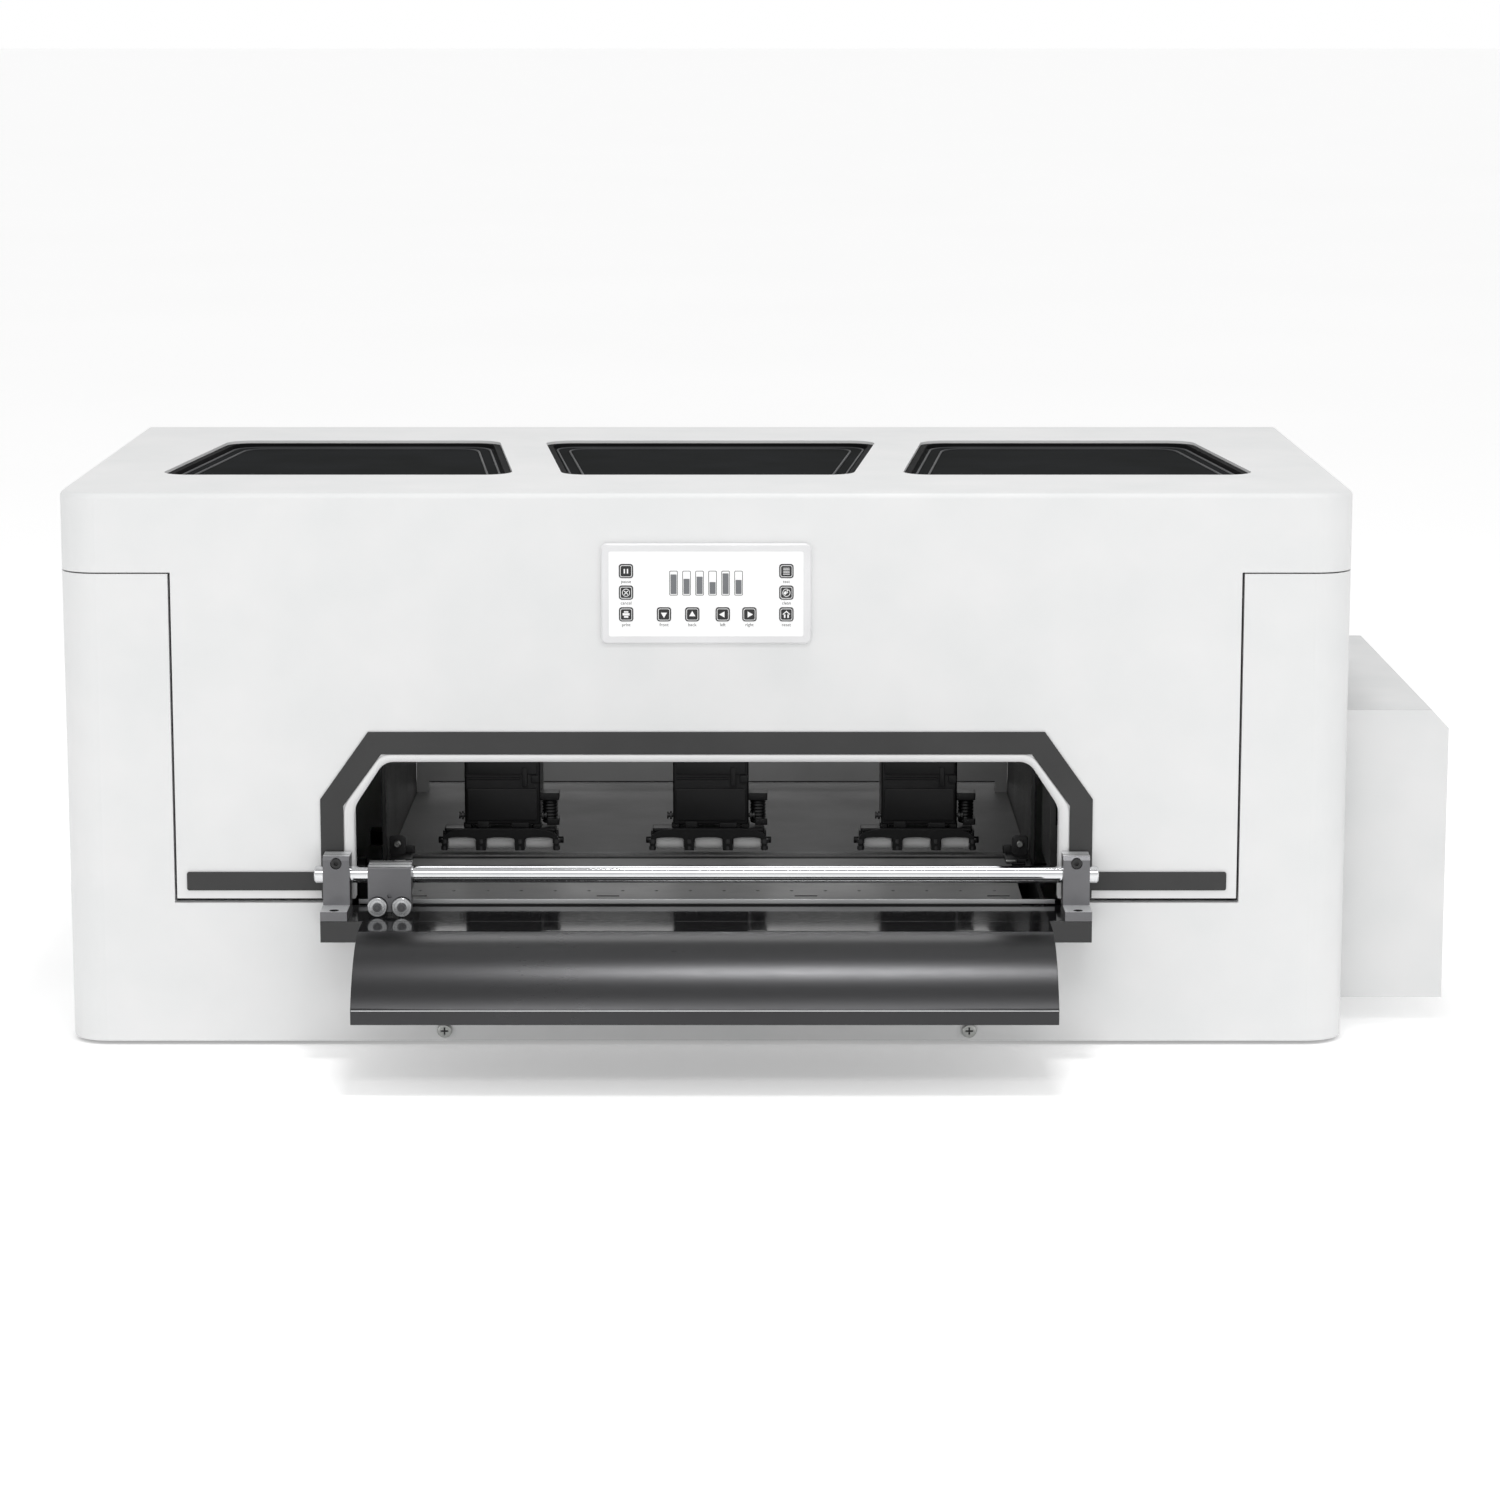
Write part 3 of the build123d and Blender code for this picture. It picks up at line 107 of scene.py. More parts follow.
def soft_block(low, high, corner=2.0, edge=0.6, axis="z"):
    """Block with rounded corners and edges: a rounded rectangle whose inset follows a quarter circle at both ends."""
    low, high = np.asarray(low, float), np.asarray(high, float)
    order = {"z": [0, 1, 2], "y": [0, 2, 1], "x": [1, 2, 0]}[axis]
    half = ((high - low) / 2)[order]
    mid = (high + low) / 2
    a = np.linspace(0, math.pi / 2, 5)
    inset = np.concatenate([edge * (1 - np.sin(a)), edge * (1 - np.cos(a))])
    height = np.concatenate([-half[2] + edge * (1 - np.cos(a)), half[2] - edge * (1 - np.sin(a))])
    loops = []
    for cut, h in zip(inset, height):
        loop = rounded_loop(half[0] - cut, half[1] - cut, max(corner - cut, 0.05))
        loops.append(np.column_stack([loop, np.full(len(loop), h)]))
    rows = np.zeros((len(loops), len(loops[0]), 3))
    rows[..., order] = np.array(loops)
    return rows + mid


def prism(points, y0, y1):
    """Outline in (x, z) carried straight from y0 to y1."""
    p = np.asarray(points, float)
    ends = [np.column_stack([p[:, 0], np.full(len(p), y), p[:, 1]]) for y in (y0, y1)]
    return np.array(ends)


def circle(r, n=10):
    """Circle of radius r as n points at equal angles."""
    a = np.linspace(0, 2 * math.pi, n, endpoint=False)
    return np.stack([r * np.cos(a), r * np.sin(a)], -1)


def faces_of(n, m, start, ring):
    """Quads between neighbouring rows of an n by m grid closed round m: ends capped, or joined if it is a ring."""
    i = np.arange(n if ring else n - 1)[:, None]
    j = np.arange(m)[None, :]
    k = (i + 1) % n
    quads = np.stack([i * m + j, i * m + (j + 1) % m, k * m + (j + 1) % m, k * m + j], -1).reshape(-1, 4)
    found = (quads + start).tolist()
    if not ring:
        found.append((start + np.arange(m)[::-1]).tolist())
        found.append((start + (n - 1) * m + np.arange(m)).tolist())
    return found


def piece(name, grids, material, body, stands_for=(), bevel=0.0, sharp=32):
    """One object from several grids, in millimetres. A grid whose first and last rows agree is joined into a ring."""
    points, faces, start = [], [], 0
    for rows in grids:
        ring = np.allclose(rows[0], rows[-1])
        rows = rows[:-1] if ring else rows
        n, m = rows.shape[:2]
        faces += faces_of(n, m, start, ring)
        points.append(rows.reshape(-1, 3))
        start += n * m
    mesh = bpy.data.meshes.new(name)
    mesh.from_pydata((np.concatenate(points) * MM).tolist(), [], faces)
    work = bmesh.new()
    work.from_mesh(mesh)
    bmesh.ops.remove_doubles(work, verts=work.verts, dist=1e-7)
    bmesh.ops.recalc_face_normals(work, faces=work.faces)
    work.to_mesh(mesh)
    work.free()
    mesh.polygons.foreach_set("use_smooth", np.ones(len(mesh.polygons), bool))
    mesh.set_sharp_from_angle(angle=math.radians(sharp))
    made = bpy.data.objects.new(name, mesh)
    bpy.context.scene.collection.objects.link(made)
    mesh.materials.append(material)
    if bevel:
        soften = made.modifiers.new("soft_edge", "BEVEL")
        soften.width = bevel * MM
        soften.segments = 2
        soften.limit_method = "ANGLE"
    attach(made, body)
    if stands_for:
        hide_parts(*stands_for)
    return made


# ---------------------------------------------------------------- materials
def colour(code):
    """sRGB hex to linear red, green, blue and 1."""
    c = np.array([int(code[i:i + 2], 16) for i in (1, 3, 5)]) / 255
    line = np.where(c <= 0.04045, c / 12.92, ((c + 0.055) / 1.055) ** 2.4)
    return (*line.tolist(), 1.0)


def add(tree, kind, settings, links=None):
    """Adds a node with its settings (by attribute, input name or input number) and its incoming links."""
    made = tree.nodes.new(kind)
    for key, value in settings.items():
        if isinstance(key, int) or key in made.inputs:
            made.inputs[key].default_value = value
        else:
            setattr(made, key, value)
    for key, (source, output) in (links or {}).items():
        tree.links.new(source.outputs[output], made.inputs[key])
    return made


def finish(name, base, shade, rough, spread, grain, relief, metal=0.0, stretch=(1, 1, 1), patch=60.0, **extra):
    """Material with a fine grain (mm) that lifts by relief (mm), a slow change from base to shade over patches (mm),
    and roughness that wanders by spread. stretch makes the grain long, as brushing or drawing does."""
    made = bpy.data.materials.new(name)
    made.use_nodes = True
    tree = made.node_tree
    tree.nodes.clear()
    place = add(tree, "ShaderNodeTexCoord", {})
    drawn = add(tree, "ShaderNodeMapping", {"Scale": stretch}, {"Vector": (place, "Object")})
    fine = add(tree, "ShaderNodeTexNoise", {"Scale": 1 / (grain * MM), "Detail": 2.0}, {"Vector": (drawn, "Vector")})
    slow = add(tree, "ShaderNodeTexNoise", {"Scale": 1 / (patch * MM), "Detail": 3.0}, {"Vector": (place, "Object")})
    tint = add(tree, "ShaderNodeMapRange", {"From Min": 0.3, "From Max": 0.7}, {"Value": (slow, "Fac")})
    two_tone = {"data_type": "RGBA", 6: colour(base), 7: colour(shade)}
    mixed = add(tree, "ShaderNodeMix", two_tone, {0: (tint, "Result")})
    both = add(tree, "ShaderNodeMath", {"operation": "ADD"}, {0: (fine, "Fac"), 1: (slow, "Fac")})
    wander = {"From Min": 0.6, "From Max": 1.4, "To Min": rough - spread, "To Max": rough + spread}
    gloss = add(tree, "ShaderNodeMapRange", wander, {"Value": (both, "Value")})
    lift = add(tree, "ShaderNodeBump", {"Strength": 1.0, "Distance": relief * MM}, {"Height": (fine, "Fac")})
    settings = {"Metallic": metal, **extra}
    links = {"Base Color": (mixed, 2), "Roughness": (gloss, "Result"), "Normal": (lift, "Normal")}
    shader = add(tree, "ShaderNodeBsdfPrincipled", settings, links)
    add(tree, "ShaderNodeOutputMaterial", {}, {"Surface": (shader, "BSDF")})
    return made


# Powder coat on sheet steel: sprayed and baked, so a very fine orange peel that softens highlights.
POWDER_WHITE = finish("powder_coat_white", "#e2e2e2", "#dddede", 0.42, 0.05, 1.1, 0.006, IOR=1.5)
# The same paint on the ink box, one shade greyer: painted shade, for the shade the case casts on the box.
POWDER_BOX_PAINTED_SHADE = finish("powder_coat_box_painted_shade", "#dcdcdc", "#d6d7d7", 0.46, 0.05, 1.1, 0.006, IOR=1.5)
# ABS sheet, matt side out: an even dark grey with a soft sheen.
ABS_TRIM = finish("abs_trim_dark", "#2e2e2e", "#292929", 0.50, 0.05, 0.8, 0.01, IOR=1.5)
# Moulded ABS lip, glossier than the paint round it.
LIP_WHITE = finish("abs_lip_white", "#dedede", "#d9d9d9", 0.30, 0.04, 1.5, 0.004, IOR=1.5)
# EPDM window profile: extruded, dull black.
GASKET = finish("epdm_gasket", "#1b1b1c", "#151516", 0.7, 0.06, 0.7, 0.02, **{"Specular IOR Level": 0.05})
# Bead of the same rubber, lighter grey and smoother.
GASKET_BEAD = finish("epdm_bead", "#3c3d3f", "#333436", 0.45, 0.05, 0.9, 0.01, **{"Specular IOR Level": 0.15})
# Smoked acrylic sheet: cast, smooth, nearly opaque.
SHEER = {"Specular IOR Level": 0.0, "Alpha": 0.96}
SMOKED = finish("smoked_acrylic", "#2c2d2e", "#282929", 0.12, 0.03, 6.0, 0.004, **SHEER)
# Panel frame: injection-moulded light grey ABS.
PANEL_RIM = finish("abs_panel_rim", "#e2e2e3", "#dadadb", 0.32, 0.05, 1.0, 0.008, IOR=1.5)
# Polyester overlay film on the panel: smooth and bright.
PANEL_FILM = finish("polyester_overlay", "#fbfbfb", "#f7f7f7", 0.24, 0.03, 2.0, 0.002, IOR=1.57)
# Key caps: matt black silicone.
KEY_BLACK = finish("silicone_key_black", "#2c2c2d", "#252526", 0.50, 0.05, 0.5, 0.01, IOR=1.43)
# Screen-printed ink on the keys and on the film. The black also serves as painted shade in screw slots, cross recesses
# and axle sockets.
INK_WHITE = finish("screen_ink_white", "#f4f4f4", "#ededed", 0.55, 0.04, 0.4, 0.004, IOR=1.5)
INK_BLACK_AND_SHADE = finish("screen_ink_black_and_painted_shade", "#262627", "#202021", 0.55, 0.04, 0.4, 0.004, IOR=1.5)
INK_GREY = finish("screen_ink_grey", "#77797c", "#6d6f72", 0.55, 0.04, 0.4, 0.004, IOR=1.5)
# Black satin enamel on folded steel inside the print zone; on the platen's front faces the same black is painted shade.
ENAMEL_BLACK_AND_SHADE = finish("enamel_black_and_painted_shade", "#1d1d1e", "#161617", 0.42, 0.10, 1.6, 0.03, IOR=1.5)
# Grey enamel on the film guide and the frame plates.
STEEL_GREY = finish("enamel_grey", "#5c5c5c", "#525252", 0.55, 0.06, 0.9, 0.02, IOR=1.5)
# The upright wall behind the film: the same enamel painted lighter, as painted light for the wall lit through the
# opening.
WALL_PAINTED_LIGHT = finish("enamel_grey_painted_light", "#8c8c8c", "#828282", 0.55, 0.06, 0.9, 0.02, IOR=1.5)
# Hard-anodised aluminium platen: faint milling streaks along the machine.
PLATEN = finish("anodised_platen", "#7a7a7a", "#6e6e6e", 0.42, 0.06, 1.2, 0.01, 0.3, (0.1, 1, 1))
# Gloss black anodised shelf: a mirror at a low angle.
SHELF = finish("gloss_anodised_shelf", "#161617", "#121213", 0.10, 0.04, 4.0, 0.002, IOR=1.55)
# Heated apron: rolled aluminium with a smooth dark coating; long highlights lie across it.
APRON = finish("coated_apron", "#424243", "#3e3e3f", 0.29, 0.02, 3.0, 0.0005, 0.95, (0.2, 1, 1), 160.0)
# Bright metal line along the apron's fold and along the platen's front edge: painted highlight where these edges catch
# the light.
EDGE_PAINTED_HIGHLIGHT = finish("edge_painted_highlight", "#d2d3d4", "#c4c5c6", 0.42, 0.06, 0.8, 0.01, 1.0, (0.05, 1, 1))
# Machined aluminium, clear anodised: fine tool marks along X.
ALU = finish("machined_aluminium", "#727274", "#69696b", 0.34, 0.07, 0.6, 0.008, 1.0, (0.08, 1, 1))
# Darker machined block of the cutter.
ALU_BLOCK = finish("anodised_block", "#6d6d6f", "#656567", 0.38, 0.06, 0.6, 0.008, 1.0, (0.08, 1, 1))
# Top faces of the same parts, painted near white: painted light, where the tops catch the light.
ALU_TOP_PAINTED_LIGHT = finish("aluminium_top_painted_light", "#f2f3f4", "#e8e9ea", 0.50, 0.05, 0.5, 0.004, 1.0, (0.08, 1, 1))
# Hard-chromed shaft: ground round and polished.
CHROME = finish("ground_chrome", "#dfe0e1", "#d4d5d7", 0.08, 0.03, 0.5, 0.001, 1.0, (1, 0.05, 0.05))
# Bearing steel: hardened and ground.
BEARING = finish("bearing_steel", "#c4c5c6", "#b6b7b9", 0.28, 0.06, 0.4, 0.004, 1.0)
# Zinc-plated screws.
ZINC = finish("zinc_plate", "#b9bab8", "#a3a5a2", 0.32, 0.08, 0.8, 0.008, 1.0)
# Ground blade steel.
BLADE = finish("blade_steel", "#c9cbcd", "#babcbe", 0.20, 0.05, 0.4, 0.004, 1.0, (1, 0.1, 0.1))
# Moulded nitrile rubber of feet and caps.
RUBBER = finish("nitrile_rubber", "#232323", "#1b1b1b", 0.70, 0.06, 0.8, 0.03, IOR=1.5)
# Grey polyurethane sleeves of the pinch rollers.
SLEEVE = finish("polyurethane_sleeve", "#cfcfcf", "#c2c2c2", 0.46, 0.06, 0.7, 0.02, IOR=1.5)
# Glass-filled nylon of the pinch units, black with a slight sheen on its edges.
NYLON = finish("nylon_black", "#0d0d0e", "#09090a", 0.34, 0.06, 1.0, 0.02, **{"Specular IOR Level": 0.2})
# Polyethylene bottle, milky.
BOTTLE = finish("polyethylene_milky", "#d5d6d6", "#cccdcd", 0.38, 0.05, 2.0, 0.01, IOR=1.51)
# Solder mask over glass-fibre board.
BOARD = finish("solder_mask_green", "#1c5a36", "#174c2d", 0.30, 0.06, 1.2, 0.01, IOR=1.5)
# Neoprene belt, ribbed along its length.
BELT = finish("neoprene_belt", "#1d1d1d", "#151515", 0.66, 0.05, 1.5, 0.05, IOR=1.5)

BY_SLOT = {
    "case_white": POWDER_WHITE, "trim_dark": ABS_TRIM, "gasket_dark": GASKET, "smoked_pane": SMOKED,
    "panel_rim": PANEL_RIM, "panel_white": PANEL_FILM, "key_black": KEY_BLACK, "steel_black": ENAMEL_BLACK_AND_SHADE,
    "steel_grey": STEEL_GREY, "platen_grey": PLATEN, "shelf_black": SHELF, "apron_dark": APRON, "alu_satin": ALU,
    "alu_block": ALU_BLOCK, "chrome_rod": CHROME, "bearing_steel": BEARING, "zinc_screw": ZINC, "blade_steel": BLADE,
    "rubber_black": RUBBER, "rubber_grey": SLEEVE, "plastic_black": NYLON, "belt_rubber": BELT,
    "bottle_plastic": BOTTLE, "board_green": BOARD,
}
for part in frame["record"]["subparts"]:
    skin = NODES[part["node"]].data.materials
    skin.clear()
    skin.append(BY_SLOT[part["material_slot"]])
# The ink box takes the greyer paint, which is painted shade.
for node in ("side_box_shell", "side_box_lid"):
    NODES[node].data.materials[0] = POWDER_BOX_PAINTED_SHADE


def second_finish(mesh, material, axis, sign):
    """Gives a second material to the flat faces of a mesh that look along one axis."""
    normals = np.zeros(len(mesh.polygons) * 3)
    mesh.polygons.foreach_get("normal", normals)
    facing = normals.reshape(-1, 3)[:, axis] * sign > 0.999
    mesh.materials.append(material)
    mesh.polygons.foreach_set("material_index", facing.astype(np.int32))


# Top faces of the supports and the cutter block turn near white: painted light on the lit tops.
for node in ("shaft_support_left", "shaft_support_right", "cutter_block"):
    second_finish(NODES[node].data, ALU_TOP_PAINTED_LIGHT, 2, 1)
# The platen's front faces turn black: painted shade for the dark gap under its front edge.
second_finish(NODES["vacuum_platen"].data, ENAMEL_BLACK_AND_SHADE, 1, -1)
# Front faces of the film guide turn lighter grey: painted light on the lit wall.
second_finish(NODES["rear_film_guide"].data, WALL_PAINTED_LIGHT, 1, -1)
for node in ("pinch_lever", "feed_roller"):
    NODES[node].data.materials[0] = ENAMEL_BLACK_AND_SHADE


# ---------------------------------------------------------------- front opening
def arch_path(half_top, half_w, top, shoulder, bottom, steps=24):
    """Path up one side, over two slanted shoulders and down: straight runs joined by small quadratic bends."""
    right = [(half_top, top), (half_w, shoulder), (half_w, bottom)]
    left = [(-x, z) for x, z in reversed(right)]
    corners = np.array(left + right, float)
    path = [corners[:1]]
    t = np.linspace(0, 1, steps)[:, None]
    for before, at, after in zip(corners[:-2], corners[1:-1], corners[2:]):
        near = at + (before - at) / np.linalg.norm(before - at) * 7
        far = at + (after - at) / np.linalg.norm(after - at) * 7
        path.append((1 - t) ** 2 * near + 2 * t * (1 - t) * at + t**2 * far)
    path.append(corners[-1:])
    return np.concatenate(path)


def opening_lip():
    """Rounded lip of the opening: from the inner to the outer arch the face rises by a flattened half sine."""
    foot = TRIM_BOTTOM - 0.3
    inner = arch_path(225, 246.5, 203, 170.5, foot)
    outer = arch_path(227.2, 254.2, 208.7, 171.9, foot)
    t = np.linspace(0, 1, 13)
    rise = 1.5 * np.sin(math.pi * t) ** 0.6
    front = inner[:, None] * (1 - t)[None, :, None] + outer[:, None] * t[None, :, None]
    y_front = np.broadcast_to(FRONT - rise, front.shape[:2])
    back = front[:, ::-1]
    y_back = np.full(back.shape[:2], FRONT + 0.2)
    x = np.concatenate([front[..., 0], back[..., 0]], 1)
    z = np.concatenate([front[..., 1], back[..., 1]], 1)
    y = np.concatenate([y_front, y_back], 1)
    return piece("opening_lip", [np.stack([x, y, z], -1)], LIP_WHITE, "cover")


def apron_section(steps=40):
    """Section of the heated apron: level run, arc about a point below it, short upright lip, and the same inside."""
    back, top = SHELF_LOW[1], SHELF_HIGH[2]
    bend = back - APRON_FLAT
    r, t = APRON_RADIUS, SHEET
    low = APRON_LOW[2]
    front = APRON_LOW[1]
    a = np.linspace(0, APRON_TURN, steps)
    outer = np.column_stack([bend - r * np.sin(a), top - r + r * np.cos(a)])
    stop = math.asin((bend - front - t) / (r - t))
    b = np.linspace(stop, 0, steps)
    inner = np.column_stack([bend - (r - t) * np.sin(b), top - r + (r - t) * np.cos(b)])
    tail = [(back - t, top - t), (back - t, SHELF_LOW[2]), (back, SHELF_LOW[2]), (back, top)]
    return np.concatenate([outer, [(front, low), (front + t, low)], inner, tail])


def heated_apron():
    """The apron's section carried straight along X, glossy where it is level, and a painted highlight along its fold.
    """
    section = apron_section()
    x = APRON_HIGH[0]
    stations = np.linspace(-x, x, 5)
    rows = np.array([np.column_stack([np.full(len(section), s), section]) for s in stations])
    sheet = piece("apron_sheet", [rows], APRON, "chassis", ["heated_apron"], bevel=0.25)
    second_finish(sheet.data, SHELF, 2, 1)
    # A thin bright strip along the fold: painted highlight of the fold's edge.
    fold_y = APRON_LOW[1]
    fold_z = SHELF_HIGH[2] - APRON_RADIUS + APRON_RADIUS * math.cos(APRON_TURN)
    low, high = (-x + 0.3, fold_y - 0.02, fold_z - 0.75), (x - 0.3, fold_y + 0.6, fold_z + 0.15)
    edge = soft_block(low, high, 0.3, 0.1, "x")
    piece("apron_fold_edge", [edge], EDGE_PAINTED_HIGHLIGHT, "chassis")


def rod_profile(r, half, chamfer):
    """Half section of a rod: a straight side between two chamfered ends."""
    ends = [(0.02, -half), (r - chamfer, -half), (r, -half + chamfer)]
    return ends + [(radius, -h) for radius, h in reversed(ends)]


def cutter_rod():
    """Ground shaft: a straight profile with chamfered ends turned about X."""
    mid = (ROD_LOW + ROD_HIGH) / 2
    rows = lathe(rod_profile(ROD_RADIUS, ROD_HIGH[0], 0.9), mid, "x", 96)
    piece("cutter_shaft", [rows], CHROME, "chassis", ["cutter_rail"])


def bearings():
    """Ball bearings of the cutter: rings, grooves and shield in one profile turned about Y, with a black cup of painted
    shade for each axle's socket.
    """
    for side in ("left", "right"):
        low, high = span("cutter_roller_" + side)
        x, _, z = (low + high) / 2
        y0, y1 = low[1], high[1]
        face = [(2.06, 0.1), (3.3, 0), (3.5, 0.3), (5.1, 0.35), (5.3, 0), (6.35, 0), (6.75, 0.4)]
        profile = [(r, y0 + depth) for r, depth in face] + [(r, y1 - depth) for r, depth in reversed(face)]
        rows = lathe(profile + profile[:1], (x, 0, z), "y", 72)
        rider = "cutter_roller_l" if side == "left" else "cutter_roller_r"
        piece("bearing_" + side, [rows], BEARING, rider, ["cutter_roller_" + side])
        # A black cup in front of each bearing: painted shade in the axle's socket.
        head = y0 - 1.2
        cup = [(0.02, head + 0.2), (1.3, head + 0.2), (1.45, head - 0.02)]
        cup += [(1.7, head - 0.08), (1.75, head + 0.5), (0.02, head + 0.5)]
        piece("axle_socket_" + side, [lathe(cup, (x, 0, z), "y", 36)], INK_BLACK_AND_SHADE, "cutter")


# ---------------------------------------------------------------- pinch units
def fork_outline(x, z):
    """Front view of the fork about the roller axis: flat bridge, sloping shoulders, legs and three arched bays."""
    half = [(-42.3, -6.0), (-42.3, 3.2), (-41.4, 5.2), (-38.4, 7.8), (-33, 9.3), (-25, 10.4)]
    outer = half + [(-a, b) for a, b in reversed(half)]
    turn = np.linspace(0, math.pi, 9)
    bays = []
    for centre in reversed(BAY_X):
        arch = np.column_stack([centre + 10.6 * np.cos(turn), 1.4 + 2.4 * np.sin(turn) ** 0.5])
        bays += [(centre + 10.6, -6.0), *arch.tolist(), (centre - 10.6, -6.0)]
    return np.array(outer + bays) + (x, z)


# Blocks of one holder about the roller axis: low corner, high corner, corner radius, edge radius and axis.
HOLDER_BLOCKS = [
    ((-26, -8.5, 13), (29.4, 45, None), 2.0, 1.0, "z"),
    ((-24, -9.6, 16), (27.4, -7, 40), 1.5, 0.6, "y"),
    ((-24, -10.2, 46.6), (15, -7, 48.4), 0.8, 0.4, "x"),
    ((-24, -10.0, 50), (27.4, -7, 66), 1.5, 0.6, "y"),
    ((16.2, -10.8, 41), (20.2, -7, 56), 1.2, 0.5, "y"),
    ((23, -10.6, 44), (28.8, -7, 50), 1.0, 0.5, "y"),
    ((-17, -9.8, 10.8), (-8, -6, 15.5), 0.8, 0.4, "y"),
    ((8, -9.8, 10.8), (21, -6, 14.5), 0.8, 0.4, "y"),
    ((-27, -6, 8), (-21, 5, 14), 1.2, 0.6, "z"),
    ((23.5, -6, 8), (30, 5, 14), 1.2, 0.6, "z"),
    ((28, -6, 30.5), (43.1, 10, 35.8), 1.0, 0.5, "z"),
    ((34, -6, 12), (43.1, 8, 16.8), 1.0, 0.5, "z"),
]
# Half sections of the leg collars and of the thumb knobs: radius and height.
COLLAR = [(0.05, -6.6), (2.2, -6.6), (2.6, -6.2), (2.6, -3.4), (2.0, -3.0)]
COLLAR += [(2.0, -1.2), (2.8, -0.8), (2.8, 2.4), (0.05, 2.6)]
KNOB = [(0.05, 0), (1.5, 0), (1.5, 1.0), (3.1, 1.2), (3.1, 2.4)]
KNOB += [(1.6, 2.7), (1.6, 3.4), (2.7, 3.6), (2.7, 4.6), (0.05, 4.8)]


def pinch_units():
    """Three holders with arched forks, collars at the legs, spring housings and thumb knobs, and their sleeves."""
    mid = (ROLLS_LOW + ROLLS_HIGH) / 2
    y, z = mid[1], mid[2]
    top = ARMS_HIGH[2] - z - 0.5
    holders, forks, knobs, tips, sleeves = [], [], [], [], []
    for x in UNIT_X:
        at = np.array([x, y, z])
        for low, high, corner, edge, axis in HOLDER_BLOCKS:
            # A holder's own body is the only block that reaches up to the top of the arms.
            high = (*high[:2], top if high[2] is None else high[2])
            holders.append(soft_block(at + low, at + high, corner, edge, axis))
        coil = [(0.05, 13)] + [(5.2 + 0.7 * (k % 2), 13 + k * 1.2) for k in range(16)] + [(0.05, 32)]
        holders.append(lathe(coil, at + (36.3, 1, 0), "z", 36))
        forks.append(prism(fork_outline(x, z), y - 10.8, y - 7.0))
        forks.append(soft_block(at + (-41, -9, 7.2), at + (41, 8, 10.2), 2.0, 0.8))
        forks.append(lathe([(0.05, -46), (2.3, -46), (2.5, -45.6), (2.5, 45.6), (2.3, 46), (0.05, 46)], at, "x", 32))
        for k in LEG_X:
            tips.append(lathe(np.array(COLLAR) * (1, 0.9), at + (k, -8.4, 0), "z", 24))
            forks.append(soft_block(at + (k - 1.3, -6.5, -4.5), at + (k + 1.3, 5, 8), 0.8, 0.4))
        for s in (-1, 1):
            stem = 26.0 if s < 0 else 29.4
            rows = lathe(KNOB, (stem - 0.2, 0, 0), "x", 28)
            knobs.append(rows * (s, 1, 1) + at + (0, -3, 19))
        for k in BAY_X:
            wall = [(2.56, -10.5), (5.9, -10.5), (6.5, -9.9), (6.5, 9.9), (5.9, 10.5), (2.56, 10.5), (2.56, -10.5)]
            sleeves.append(lathe(wall, at + (k, 0, 0), "x", 56))
    piece("pinch_holders", holders, NYLON, "pinch_bank", ["pinch_arms"])
    piece("pinch_forks", forks, NYLON, "pinch_bank", bevel=0.4)
    piece("pinch_collars", tips, ENAMEL_BLACK_AND_SHADE, "pinch_bank")
    piece("pinch_knobs", knobs, ENAMEL_BLACK_AND_SHADE, "pinch_bank")
    piece("pinch_sleeves", sleeves, SLEEVE, "pinch_roll", ["pinch_rollers"])


# ---------------------------------------------------------------- print zone details
def zone_details():
    """Low rails, brackets, clips and cable ends beside the platen, clear of the passing carriage."""
    z = PLATEN_HIGH[2]
    dark, bright = [], []
    for s in (-1, 1):
        dark.append(soft_block((s * 234 - 2, -150, z - 2), (s * 234 + 2, -76, z + 2.2), 1, 0.5))
        dark.append(soft_block((s * 226 - 8, -98, z + 0.2), (s * 226 + 8, -76, z + 3.4), 1.5, 0.6))
        dark.append(soft_block((s * 229 - 6, -84, z + 3), (s * 229 + 6, -81.5, z + 18), 2.5, 0.5, "y"))
        dark.append(soft_block((s * 222 - 5, -76, z + 3), (s * 222 + 5, -68, z + 9), 1.5, 0.6))
        head = [(0.05, -86.8), (2.0, -86.8), (2.6, -86.2), (2.6, -84), (0.05, -84)]
        bright.append(lathe(head, (s * 229, 0, z + 12), "y", 28))
        bright.append(soft_block((s * 224 - 6, -99.5, z + 1), (s * 224 + 2, -98, z + 3), 0.6, 0.3))
        plug = [(0.05, -8), (1.6, -8), (1.6, 6), (2.6, 6.3), (2.6, 8), (0.05, 8)]
        bright.append(lathe(plug, (s * 228, -72, z + 6), "x", 24))
    piece("zone_brackets", dark, ENAMEL_BLACK_AND_SHADE, "chassis")
    piece("zone_screws", bright, ZINC, "chassis")
    # A bright strip along the platen's front edge: painted highlight where the edge catches the light.
    front = PLATEN_LOW[1]
    strip = soft_block((-245, front - 0.7, z - 3.3), (245, front - 0.1, z), 0.25, 0.1, "x")
    piece("platen_edge_highlight", [strip], EDGE_PAINTED_HIGHLIGHT, "chassis")


